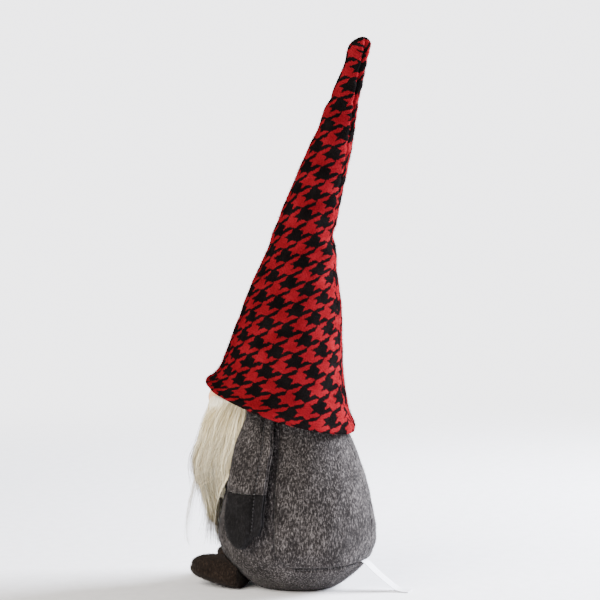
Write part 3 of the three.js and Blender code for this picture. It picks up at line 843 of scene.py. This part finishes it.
def snap_to_seams(p):
    """Brings the points beside a seam onto it, so that panels part along a clean line."""
    p = p.copy()
    for _ in range(3):
        y, z = p[:, 1], p[:, 2]
        reach = back_reach(y, z)
        small = 0.1
        slope_y = (back_reach(y + small, z) - back_reach(y - small, z)) / (2 * small)
        slope_z = (back_reach(y, z + small) - back_reach(y, z - small)) / (2 * small)
        beside = np.abs(reach) < 0.55
        p[beside, 1] -= (reach * slope_y)[beside]
        p[beside, 2] -= (reach * slope_z)[beside]
    behind = (np.abs(p[:, 0]) < 0.6) & (p[:, 1] > 0) & (p[:, 2] > SEAM_HEIGHT)
    p[behind, 0] = 0
    return p


def part_panels(skin):
    """Parts the skin into the front panel and the two back panels, and gives each the felt's thickness."""
    centres = np.empty(len(skin.data.polygons) * 3)
    skin.data.polygons.foreach_get("center", centres)
    x, y, z = centres.reshape(-1, 3).T / MM
    inside = back_reach(y, z) > 0
    panels = []
    for name, chosen in (
        ("body_back_left", inside & (x > 0)),
        ("body_back_right", inside & (x <= 0)),
        ("body_front", ~inside),
    ):
        panel = bpy.data.objects.new(name, skin.data.copy())
        bpy.context.scene.collection.objects.link(panel)
        pick(panel)
        panel.data.polygons.foreach_set("select", ~chosen)
        bpy.ops.object.mode_set(mode="EDIT")
        bpy.ops.mesh.select_mode(type="FACE")
        bpy.ops.object.mode_set(mode="OBJECT")
        panel.data.polygons.foreach_set("select", ~chosen)
        bpy.ops.object.mode_set(mode="EDIT")
        bpy.ops.mesh.delete(type="FACE")
        bpy.ops.object.mode_set(mode="OBJECT")
        face_outwards(panel, (0, 0, 70))
        finish_with(panel, "SOLIDIFY", thickness=1.6 * MM, offset=-1)
        panel.data.shade_smooth()
        panels.append(panel)
    bpy.data.objects.remove(skin)
    return panels


def seam_path(height_from, height_to, side):
    """Points along a side seam, from the centre back under the belly and up to the head."""
    points = []
    low = SIDE_SEAM_BACK
    for y in np.arange(BELLY_RADIUS, low + SEAM_CORNER, -1.0):
        points.append((y, SEAM_HEIGHT))
    for a in np.linspace(1.5 * math.pi, math.pi, 24):
        points.append(
            (
                low + SEAM_CORNER + SEAM_CORNER * math.cos(a),
                SEAM_HEIGHT + SEAM_CORNER + SEAM_CORNER * math.sin(a),
            )
        )
    rise = BODY_HEIGHT - SEAM_HEIGHT - SEAM_CORNER
    for z in np.arange(SEAM_HEIGHT + SEAM_CORNER, 150, 1.5):
        points.append((low - SIDE_SEAM_LEAN * (z - SEAM_HEIGHT - SEAM_CORNER) / rise, z))
    found = []
    for y, z in points:
        radius = body_radius(z) - 1.2
        if abs(y) < radius:
            found.append((side * math.sqrt(radius**2 - y**2), y, z))
    return np.array(found)


def make_body():
    skin = body_skin()
    fuzz = nap("body_nap", skin, 42000, 1.7, 71, lambda p: (p[:, 2] > 4) & (p[:, 2] < 160))
    dress(fuzz, GREY_FELT, "felt_grey", "body")
    back_left, back_right, front = part_panels(skin)
    filling = cut_cloth(
        "body_filling", 64, 60, lambda s, t: round_the_axis(2 * math.pi * s, *even_path(FILLING_PROFILE, t))
    )
    dress(filling, FILLING, "fibre_fill", "body", "body_stuffing")
    for panel, node in (
        (back_left, "body_back_panel_left"),
        (back_right, "body_back_panel_right"),
        (front, "body_front_panel"),
    ):
        dress(panel, GREY_FELT, "felt_grey", "body", node)
    for side, name in ((1, "left"), (-1, "right")):
        path = seam_path(0, 150, side)
        under = path[path[:, 2] < SEAM_HEIGHT + 0.5]
        thread = stitches(f"base_seam_stitches_{name}", under, lambda p: outward_of_body(np.array([p]))[0])
        dress(thread, THREAD, "thread", "body")
    base = cut_cloth(
        "base_felt_disc",
        64,
        14,
        lambda s, t: round_the_axis(2 * math.pi * s, *even_path(BASE_PROFILE, t)),
    )
    dress(base, GREY_FELT, "felt_grey", "body", "base_panel")


FILLING_ROOM = 6.0
FILLING_PROFILE = np.vstack(
    [
        [(0, 28.6), (30, 27.6), (40.5, 19)],
        [
            (r - FILLING_ROOM, z)
            for r, z in BODY_PROFILE
            if 12 < z < BODY_HEIGHT - 8 and r > FILLING_ROOM + 2
        ],
        [(0, BODY_HEIGHT - 8)],
    ]
)
BASE_PROFILE = np.array(
    [(0, 0), (27.2, 0), (28.2, 0.6), (28.4, 1.3), (28.0, 2.0), (27.0, 2.5), (0, 2.5)], float
)


# ---------------------------------------------------------------- hat

HAT_AROUND = 240
HAT_UP = 300


def hat_azimuth(s, up):
    """The azimuth of a point across the cloth. The seam closes it at the back, and winds round towards the tip."""
    wind = SEAM_TWIST * np.clip(up / HAT_HEIGHT, 0, 1) ** 2.5
    return 2 * math.pi * (s - 0.5) - wind


def hat_shape(s, t, inside=0.0):
    radius, up = even_path(HAT_OUTLINE, t)
    azimuth = hat_azimuth(s, up)
    x = radius * np.sin(azimuth)
    y = -radius * np.cos(azimuth)
    body_fade = smoothstep(radius, 0, 9)
    lump = 0.9 * ripple(x, y, up, 52, 11) + 0.4 * ripple(x, y, up, 19, 12)
    behind = np.clip(-np.cos(azimuth), 0, 1) ** 1.5
    before = np.clip(np.cos(azimuth), 0, 1) ** 1.5
    crease = -2.2 * behind * np.exp(-(((up - 137) / 5.5) ** 2))
    crease = crease + 1.1 * behind * np.exp(-(((up - 120) / 9) ** 2))
    nick = -1.3 * before * np.exp(-(((up - 247) / 4) ** 2)) + 0.7 * before * np.exp(-(((up - 240) / 5) ** 2))
    across = np.abs(s - 0.5)
    from_seam = (0.5 - across) * 2 * math.pi * radius
    drawn = 0.35 + 0.65 * smoothstep(up, 150, 270)
    pinched = -1.5 * np.exp(-((from_seam / 1.3) ** 2))
    tuck = drawn * (pinched + 0.5 * np.exp(-(((from_seam - 3.6) / 2.2) ** 2)))
    pull = 0.5 * np.exp(-((from_seam / 9.0) ** 2)) * np.sin(up * 2 * math.pi / 8.5)
    wave = 0.8 * np.exp(-up / 14.0) * np.sin(3 * azimuth + 0.8)
    relief = (lump + crease + nick + tuck + pull + wave) * body_fade
    return lean_hat(azimuth, np.maximum(radius + relief - inside, 0), up)


def hat_cloth(s, t):
    """Where a point of the cone lies on the flat cloth, with the threads straight down the hat's front."""
    radius, _ = even_path(HAT_OUTLINE, t)
    from_tip = (1 - t) * path_length(HAT_OUTLINE) + 6.0
    turn = 2 * math.pi * (s - 0.5) * radius / from_tip
    return np.stack([from_tip * np.sin(turn) + 4.0, -from_tip * np.cos(turn) + 3.0], axis=-1)


def make_hat():
    hat = cut_cloth("hat_cone", HAT_AROUND, HAT_UP, hat_shape, hat_cloth)
    face_outwards(hat, (0, 5, 290))
    fuzz = nap("hat_nap", hat, 46000, 1.9, 72)
    dress(fuzz, HOUNDSTOOTH, "wool_houndstooth", None)
    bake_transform(fuzz)
    finish_with(hat, "SOLIDIFY", thickness=HAT_WOOL * MM, offset=-1, use_even_offset=True, thickness_clamp=1)
    dress(hat, HOUNDSTOOTH, "wool_houndstooth", None, "hat_lower_cone", "hat_upper_cone")
    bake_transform(hat)

    hem_rows = smooth_path(
        [
            (BRIM_RADIUS - BRIM_ROLL - 0.4, 1.2),
            (BRIM_RADIUS - BRIM_ROLL - 1.6, 3.4),
            (CONE_RADIUS - HAT_WOOL - 0.9, HEM_HEIGHT + 0.6),
        ],
        12,
    )

    def hem_shape(s, t):
        radius, up = even_path(hem_rows, t)
        azimuth = hat_azimuth(s, up * 0)
        pleat = 0.35 * np.sin(azimuth * 40) * t
        wave = 0.8 * np.sin(3 * azimuth + 0.8)
        return lean_hat(azimuth, radius + pleat + wave, up)

    def hem_cloth(s, t):
        radius, _ = even_path(HAT_OUTLINE, t * 0)
        from_tip = path_length(HAT_OUTLINE) + 6.0 + 12 * t
        turn = 2 * math.pi * (s - 0.5) * radius / from_tip
        return np.stack([from_tip * np.sin(turn) + 4.0, -from_tip * np.cos(turn) + 3.0], axis=-1)

    hem = cut_cloth("hat_turned_hem", HAT_AROUND, 14, hem_shape, hem_cloth, closed=False)
    face_outwards(hem, (0, -14, 153))
    finish_with(hem, "SOLIDIFY", thickness=1.4 * MM, offset=-1)
    dress(hem, HOUNDSTOOTH, "wool_houndstooth", "body", "hat_hem")

    filling = cut_cloth("hat_filling", 64, 110, lambda s, t: hat_shape(s, 0.16 + 0.84 * t, inside=4.2))
    close_up(filling)
    dress(filling, FILLING, "fibre_fill", None, "hat_stuffing_lower", "hat_stuffing_upper")
    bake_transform(filling)


# ---------------------------------------------------------------- nose


def make_nose():
    deselect()
    bpy.ops.mesh.primitive_uv_sphere_add(segments=64, ring_count=40, radius=1)
    nose = bpy.context.object
    nose.name = "nose_cover"
    p = points_of(nose) * MM
    p = p[:, [0, 2, 1]] * np.array([1, -1, 1])
    gather = smoothstep(p[:, 1], 0.45, 1.0)
    turn = np.arctan2(p[:, 2], p[:, 0])
    p[:, 0] *= 1 + 0.04 * gather * np.sin(turn * 14)
    p[:, 2] *= 1 + 0.04 * gather * np.sin(turn * 14)
    p *= 1 + 0.02 * ripple(*(p.T * 11), 9, 21)[:, None]
    place_points(nose, p * NOSE_RADIUS * 0.985 + np.array(NOSE_PLACE))
    edit(nose, (bpy.ops.mesh.normals_make_consistent, {"inside": False}))
    nose.data.shade_smooth()
    dress(nose, JERSEY, "jersey_peach", "body", "nose_cover")


# ---------------------------------------------------------------- beard


def beard_size(z):
    """Half width and fullness in front of the belly at a height."""
    share = np.clip((BEARD_TOP - z) / BEARD_DROP, 0, 1.25)
    taper = smoothstep(share, 0.45, 1.05)
    shoulders = 0.8 + 0.2 * smoothstep(share, 0, 0.3)
    half = BEARD_HALF_WIDTH * shoulders * (1 - 0.86 * taper)
    full = (BEARD_FULLNESS + 8 - 8 * np.minimum(share, 1)) * (1 - 0.62 * taper)
    full = full + 7.5 * (1 - smoothstep(share, 0.02, 0.34))
    return half, full


def beard_point(across, depth, z):
    """A point of the beard: across from -1 at its right edge to 1, and depth from 0 at the belly to 1 outside."""
    half, full = beard_size(z)
    x = half * np.sin(across * math.pi / 2)
    belly = body_radius(np.maximum(z, BELLY_HEIGHT))
    crown = np.abs(np.cos(np.clip(across, -1, 1) * math.pi / 2)) ** 0.8
    outer = BEARD_SIDE_Y - (belly + full + BEARD_SIDE_Y) * crown
    inner = -np.sqrt(np.maximum((belly + 6.0) ** 2 - x**2, 20.0**2))
    inner = np.minimum(inner, BEARD_SIDE_Y + 1.0)
    return np.stack([x, inner + (outer - inner) * depth, z], axis=-1)


def nose_room(points):
    """Moves hair sideways round the nose."""
    x, y, z = points[..., 0], points[..., 1], points[..., 2]
    level = np.exp(-(((z - NOSE_PLACE[2]) / 13.0) ** 2)) * (z > NOSE_PLACE[2] - 24)
    away = np.where(x >= 0, 1, -1) * np.maximum(0, (NOSE_RADIUS + 1.0) * level - np.abs(x))
    moved = points.copy()
    moved[..., 0] += away
    return moved


def hair_piece(name, paths, width, seed, fur, body):
    """Flat tapering hairs along paths (hair, step, xyz), each turned its own way."""
    rng = np.random.default_rng(seed)
    count, steps, _ = paths.shape
    ahead = np.gradient(paths, axis=1)
    ahead /= np.maximum(np.linalg.norm(ahead, axis=2, keepdims=True), 1e-9)
    out = paths * np.array([1, 1, 0])
    out /= np.maximum(np.linalg.norm(out, axis=2, keepdims=True), 1e-9)
    side = np.cross(ahead, out)
    side /= np.maximum(np.linalg.norm(side, axis=2, keepdims=True), 1e-9)
    cross = np.cross(side, ahead)
    turn = rng.normal(0, 0.7, (count, 1, 1))
    blade = side * np.cos(turn) + cross * np.sin(turn)
    share = np.linspace(0, 1, steps)[None, :, None]
    half = 0.5 * width * (1 - 0.8 * share**1.4) * rng.uniform(0.7, 1.25, (count, 1, 1))
    left = paths - blade * half
    right = paths + blade * half
    places = np.stack([left, right], axis=2).reshape(-1, 3) * MM
    base = np.arange(count)[:, None] * steps * 2 + np.arange(steps - 1)[None, :] * 2
    faces = np.stack([base, base + 1, base + 3, base + 2], axis=-1).reshape(-1, 4)
    mesh = bpy.data.meshes.new(name)
    mesh.from_pydata(places, [], faces.tolist())
    for key, values in (
        ("along", np.broadcast_to(share, (count, steps, 1))),
        ("tone", np.broadcast_to(rng.uniform(0, 1, (count, 1, 1)), (count, steps, 1))),
    ):
        layer = mesh.attributes.new(key, "FLOAT", "POINT")
        layer.data.foreach_set("value", np.repeat(values.reshape(-1), 2).astype(np.float32))
    mesh.shade_smooth()
    piece = bpy.data.objects.new(name, mesh)
    bpy.context.scene.collection.objects.link(piece)
    return dress(piece, fur, "fur_white", body)


def hair_paths(count, seed, depth_low, depth_high, long_low, long_high, steps=9, clump=0.55, fan=1.0, flare=0.0):
    """Hairs rooted on the backing, swept out and down, drawn together in locks towards their tips."""
    rng = np.random.default_rng(seed)
    locks = count // 22
    q = np.linspace(0, 1, steps)[None, :]

    def run(n):
        across = np.clip(rng.normal(0, 0.5, n), -0.97, 0.97)
        across = np.where(rng.uniform(size=n) < 0.5, rng.uniform(-0.97, 0.97, n), across)
        root = rng.uniform(BACKING_BOTTOM, BEARD_TOP + 7.0, n)
        depth = rng.uniform(depth_low, depth_high, n)
        length = rng.uniform(long_low, long_high, n)
        drift = rng.normal(0, 0.05, n)
        bow = rng.normal(0, 0.05, n)
        return across, root, depth, length, drift, bow

    def trace(across, root, depth, length, drift, bow):
        z = root[:, None] - length[:, None] * (q**1.12)
        a = across[:, None] * (1 - 0.06 * q) + drift[:, None] * q + bow[:, None] * np.sin(q * math.pi)
        d = depth[:, None] * (0.62 + 0.38 * (1 - (1 - q) ** 2.2)) * (1 - 0.1 * q**3 + flare * q**2)
        return nose_room(beard_point(np.clip(a, -1, 1), d, z))

    hairs = run(count)
    guides = run(locks)
    own = trace(*hairs)
    lead = trace(*guides)
    gap = (hairs[0][:, None] - guides[0][None]) * 30
    gap_z = hairs[1][:, None] - guides[1][None]
    gap_d = (hairs[2][:, None] - guides[2][None]) * 15
    nearest = np.argmin(gap**2 + gap_z**2 + gap_d**2, axis=1)
    pull = clump * (q[..., None] ** 1.6)
    paths = own * (1 - pull) + lead[nearest] * pull
    stray = fan * rng.normal(0, 1, (count, 1, 3)) * np.array([1.6, 1.6, 0.5])
    curl = np.sin(q[..., None] * rng.uniform(2, 6, (count, 1, 1)) + rng.uniform(0, 6, (count, 1, 3)))
    return paths + stray * q[..., None] ** 2 + 0.5 * curl * q[..., None]


def stray_paths(count, seed, steps=14):
    """Single long hairs that fall back from the beard's sides, over the front edge of the arms."""
    rng = np.random.default_rng(seed)
    q = np.linspace(0, 1, steps)[None, :]
    side = np.where(np.arange(count) % 2 == 0, 1, -1)[:, None]
    start = np.radians(rng.uniform(18, 38, (count, 1)))
    reach = np.radians(rng.uniform(-2, 13, (count, 1)))
    root = rng.uniform(92, 136, (count, 1))
    drop = rng.uniform(40, 84, (count, 1))
    curl = rng.uniform(-1.8, 1.8, (count, 1)) * np.sin(q * rng.uniform(2, 5, (count, 1)))
    bend = rng.uniform(0.8, 2.6, (count, 1))
    wave = np.radians(rng.uniform(-3, 3, (count, 1))) * np.sin(q * rng.uniform(2, 6, (count, 1)))
    z = np.maximum(root - drop * q ** rng.uniform(0.9, 1.5, (count, 1)), 36)
    azimuth = start + reach * q**bend + wave
    radius = body_radius(z) + 10 + (ARM_CLEARANCE + ARM_THICKNESS + 3) * smoothstep(q, 0, 0.3) + curl
    return round_the_axis(side * azimuth, radius, z)


def hold_above_table(paths, lowest):
    paths[..., 2] = np.maximum(paths[..., 2], lowest)
    return paths


def clear_of_body(paths, gap):
    """Keeps hair outside the belly."""
    radius = np.hypot(paths[..., 0], paths[..., 1])
    least = body_radius(np.maximum(paths[..., 2], 0)) + gap
    grow = np.maximum(1, least / np.maximum(radius, 1))
    paths[..., :2] *= grow[..., None]
    return paths


def make_beard():
    def core_shape(s, t):
        z = BEARD_TOP + 3 - (BEARD_DROP - 14) * t
        ring = 2 * math.pi * s
        across = np.cos(ring)
        depth = np.where(np.sin(ring) > 0, 0.86 * np.sqrt(np.maximum(np.sin(ring), 0)), 0.0)
        return nose_room(beard_point(0.93 * across, depth, z))

    core = cut_cloth("beard_under_pile", 72, 48, core_shape)
    close_up(core)
    dress(core, UNDER_FUR, "fur_white", "beard", "beard_pile")

    inner = hair_paths(8600, SEED, 0.45, 0.95, 38, 56)
    outer = hair_paths(9000, SEED + 1, 0.82, 1.02, 34, 58, fan=1.5, flare=0.05)
    fringe = hair_paths(2400, SEED + 2, 0.7, 1.1, 50, 82, steps=12, clump=0.45, fan=2.5, flare=0.16)
    for name, paths, width, seed, fur in (
        ("beard_inner_hair", inner, 0.6, 31, FUR),
        ("beard_outer_hair", outer, 0.5, 32, FUR),
        ("beard_long_wisps", fringe, 0.45, 33, FUR_TIPS),
        ("beard_stray_hair", stray_paths(150, 34), 0.22, 35, FUR_TIPS),
    ):
        hair_piece(name, hold_above_table(clear_of_body(paths, 4.0), 28.0), width, seed, fur, "beard")

    def backing_shape(s, t):
        x = BACKING_HALF_WIDTH * (2 * s - 1)
        z = BACKING_BOTTOM + (BACKING_TOP - BACKING_BOTTOM) * t
        radius = body_radius(z) + 3.6
        angle = np.arcsin(np.clip(x / radius, -0.86, 0.86))
        return round_the_axis(angle, radius, z)

    backing = cut_cloth("beard_backing_cloth", 44, 44, backing_shape, closed=False)
    face_outwards(backing, (0, 0, 125))
    finish_with(backing, "SOLIDIFY", thickness=1.4 * MM, offset=1)
    dress(backing, FUR_BACKING, "fur_backing", "beard", "beard_backing")


# ---------------------------------------------------------------- arms


def arm_point(across, out, down):
    """A point of the left arm: across towards the rear, out from the body, and down from the sleeve's top."""
    z = ARM_TOP - down
    swept = across - ARM_FORWARD + ARM_SWEEP * (down / ARM_LENGTH - 0.5)
    reach = body_radius(z) + ARM_CLEARANCE + ARM_THICKNESS / 2 + out
    sin, cos = math.sin(ARM_ANGLE), math.cos(ARM_ANGLE)
    return np.stack([reach * cos + swept * sin, -reach * sin + swept * cos, z + 0 * reach], axis=-1)


SLEEVE_LENGTH = ARM_LENGTH - MITTEN_LENGTH


def arm_width_share(down):
    gather = SHOULDER_NARROWING + (1 - SHOULDER_NARROWING) * smoothstep(down, 0, 0.5 * SLEEVE_LENGTH)
    into = np.clip(down - (ARM_LENGTH - 0.75 * ARM_WIDTH), 0, None) / (0.75 * ARM_WIDTH)
    return gather * np.sqrt(np.clip(1 - into**2, 0, 1))


def arm_section(turn, down, plump=1.0):
    """One point of the arm's rounded section."""
    share = arm_width_share(down)
    round_end = np.sqrt(np.clip(arm_width_share(np.maximum(down, SLEEVE_LENGTH)), 0, 1))
    half_width = ARM_WIDTH / 2 * share
    half_thick = ARM_THICKNESS / 2 * round_end * plump
    cos, sin = np.cos(turn), np.sin(turn)
    across = half_width * np.sign(cos) * np.abs(cos) ** 0.85
    rear = smoothstep(cos, 0.55, 1.0)
    out = half_thick * np.sign(sin) * np.abs(sin) ** 0.9 * (1 - 0.5 * rear)
    return across, out


def mirrored(side, points):
    return points * np.array([side, 1, 1])


def make_arm(side, name):
    seam_pinch = 1.1

    def pad(start, end, close_end):
        def shape(s, t):
            down = start + (end - start) * (np.sin(t * math.pi / 2) if close_end else t)
            turn = 2 * math.pi * s
            across, out = arm_section(turn, down)
            join_near = np.exp(-(((down - SLEEVE_LENGTH) / 2.2) ** 2))
            shrink = 1 - 0.11 * join_near
            lump = 0.45 * ripple(across * side, out, down, 21, 40 + side) * np.clip(np.abs(out) / 4, 0, 1)
            from_edge = across - ARM_WIDTH / 2 * arm_width_share(down) + 1.6
            groove = 1 - 0.5 * np.exp(-((from_edge / seam_pinch) ** 2))
            pucker = 0.25 * join_near * np.sin(across * 2 * math.pi / 5)
            outward = (out + lump) * shrink * groove + pucker
            return mirrored(side, arm_point(across * (0.5 + 0.5 * shrink), outward, down))

        return shape

    sleeve = cut_cloth(f"arm_{name}_sleeve_pad", 96, 90, pad(0, SLEEVE_LENGTH - 0.3, False))
    mitten = cut_cloth(f"arm_{name}_mitten_pad", 96, 64, pad(SLEEVE_LENGTH, ARM_LENGTH, True))
    for piece, material, slot, node in (
        (sleeve, GREY_FELT, "felt_grey", f"arm_{name}_sleeve"),
        (mitten, CHARCOAL_FELT, "felt_charcoal", f"arm_{name}_mitten"),
    ):
        close_up(piece)
        swell(piece, 0.5, 1.0)
        dress(piece, material, slot, f"arm_{name}", node)
        fuzz = nap(f"{piece.name}_nap", piece, 7000, 1.6, 73 + side)
        dress(fuzz, material, slot, f"arm_{name}")

    def filling_shape(s, t):
        down = 5 + (ARM_LENGTH - 9) * np.sin(t * math.pi / 2)
        across, out = arm_section(2 * math.pi * s, down, 0.5)
        return mirrored(side, arm_point(across * 0.76, out, down))

    filling = cut_cloth(f"arm_{name}_filling", 40, 60, filling_shape)
    close_up(filling)
    dress(filling, FILLING, "fibre_fill", f"arm_{name}", f"arm_{name}_stuffing")

    def flange(start, end, layer):
        def shape(s, t):
            down = start + (end - start) * t
            share = arm_width_share(down)
            width = FLANGE_WIDTH * np.clip(share, 0, 1) ** 2
            flare = 0.25 * np.sin(down * 0.35 + layer) + 0.5 * layer * s**2
            across = ARM_WIDTH / 2 * share - 1.2 + (width + 0.9) * s
            return mirrored(side, arm_point(across, layer * 0.95 + flare + 1.6 - 3.2 * s, down))

        return shape

    for part, start, end, material, slot in (
        ("sleeve", 0.5, SLEEVE_LENGTH - 0.2, GREY_FELT, "felt_grey"),
        ("mitten", SLEEVE_LENGTH + 0.2, ARM_LENGTH - 12, CHARCOAL_FELT, "felt_charcoal"),
    ):
        layers = []
        for layer in (-1, 1):
            strip_name = f"arm_{name}_{part}_allowance_{layer}"
            strip = cut_cloth(strip_name, 8, 60, flange(start, end, layer), closed=False)
            finish_with(strip, "SOLIDIFY", thickness=1.5 * MM, offset=0)
            finish_with(strip, "BEVEL", width=0.35 * MM, segments=2, limit_method="ANGLE")
            strip.data.shade_smooth()
            layers.append(strip)
        allowance = join(f"arm_{name}_{part}_allowance", layers)
        dress(allowance, material, slot, f"arm_{name}")

    for face, out_side in (("outer", 1), ("inner", -1)):
        down = np.linspace(3, ARM_LENGTH - 16, 120)
        across = ARM_WIDTH / 2 * arm_width_share(down) - 0.6
        path = mirrored(side, arm_point(across, out_side * 1.9 + 1.4, down))
        outward = mirrored(side, np.array([math.cos(ARM_ANGLE), -math.sin(ARM_ANGLE), 0.0])) * out_side
        row = stitches(f"arm_{name}_{face}_stitches", path, lambda p, out=outward: out)
        dress(row, THREAD, "thread", f"arm_{name}")


# ---------------------------------------------------------------- feet


def make_foot(side, name):
    def shape(s, t, size=1.0):
        polar = math.pi * (t - 0.5)
        turn = 2 * math.pi * s

        def plump(share):
            return np.sign(share) * np.abs(share) ** 0.78

        ring = plump(np.cos(polar))
        ring = np.where(np.abs(np.cos(polar)) < 1e-6, 0, ring)
        x = FOOT_SIZE[0] / 2 * ring * np.cos(turn)
        y = FOOT_SIZE[1] / 2 * ring * np.sin(turn)
        z = FOOT_SIZE[2] / 2 * plump(np.sin(polar))
        lump = 1 + 0.03 * ripple(x, y, z, 24, 60 + side)
        edge = np.exp(-((z / 1.1) ** 2))
        x, y, z = x * lump * (1 - 0.035 * edge), y * lump * (1 - 0.025 * edge), z * lump
        cos, sin = math.cos(TOE_LIFT), math.sin(TOE_LIFT)
        toe_y = y * cos + z * sin
        toe_z = -y * sin + z * cos
        p = np.stack([x, toe_y, toe_z], axis=-1) * size + np.array(FOOT_PLACE)
        return mirrored(side, press_to_body(p, (1 - size) * FOOT_SIZE[2] / 2))

    foot = cut_cloth(f"foot_{name}_pad", 96, 64, shape)
    swell(foot, 0.4, 1.0)
    dress(foot, BROWN_FELT, "felt_brown", f"foot_{name}", f"foot_{name}_upper", f"foot_{name}_sole")
    filling = cut_cloth(f"foot_{name}_filling", 48, 32, lambda s, t: shape(s, t, 0.72))
    dress(filling, FILLING, "fibre_fill", f"foot_{name}", f"foot_{name}_stuffing")
    fuzz = nap(f"foot_{name}_nap", foot, 9000, 1.5, 76 + side, lambda p: p[:, 2] > 2)
    dress(fuzz, BROWN_FELT, "felt_brown", f"foot_{name}")


def press_to_body(p, inside_felt=0.0):
    """Presses the back of a foot flat against the belly, and keeps its sole off the table."""
    p = p.copy()
    p[:, 1] = np.minimum(p[:, 1], -FOOT_HEEL - inside_felt)
    least = body_radius(np.clip(p[:, 2], 0, BODY_HEIGHT)) + FOOT_GAP + inside_felt
    radius = np.hypot(p[:, 0], p[:, 1])
    inside = radius < least
    pushed = -np.sqrt(np.maximum(least**2 - p[:, 0] ** 2, 0))
    p[inside, 1] = np.minimum(p[:, 1], pushed)[inside]
    p[:, 2] = np.maximum(p[:, 2], 0.4)
    return p


# ---------------------------------------------------------------- care label


def make_label():
    start = body_radius(SEAM_HEIGHT) - 1.5
    line = smooth_path(
        [(start, 23.5), (start + 4, 21.6), (start + 14, 12.6), (start + 27, 3.2), (start + 33, 0.9), (start + 41, 0.6)], 10
    )

    def shape(s, t):
        y, z = even_path(line, t)
        x = 12.4 * (s - 0.5)
        curl = 0.5 * np.sin(t * math.pi) * (2 * s - 1) ** 2
        return np.stack([x, y, z + curl], axis=-1)

    label = cut_cloth("care_label_ribbon", 24, 60, shape, closed=False)
    finish_with(label, "SOLIDIFY", thickness=0.35 * MM, offset=0)
    dress(label, RIBBON, "satin_ribbon", "label", "care_label")


# ---------------------------------------------------------------- pieces carried over


def dress_frame():
    """Gives the frame's own pieces that stay their materials."""
    chosen = {
        "base_board": BOARD,
        "weight_bag_bottom": COTTON,
        "weight_bag_top": COTTON,
        "weight_fill": SAND,
        "nose_stuffing": FILLING,
        "nose_neck": JERSEY,
    }
    for side in ("left", "right"):
        chosen[f"arm_{side}_thread"] = THREAD
    for name, material in chosen.items():
        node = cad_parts[name]
        node.data.materials.clear()
        node.data.materials.append(material)


set_stage()
dress_frame()
make_body()
make_hat()
make_nose()
make_beard()
for side, name in ((1, "left"), (-1, "right")):
    make_arm(side, name)
    make_foot(side, name)
make_label()
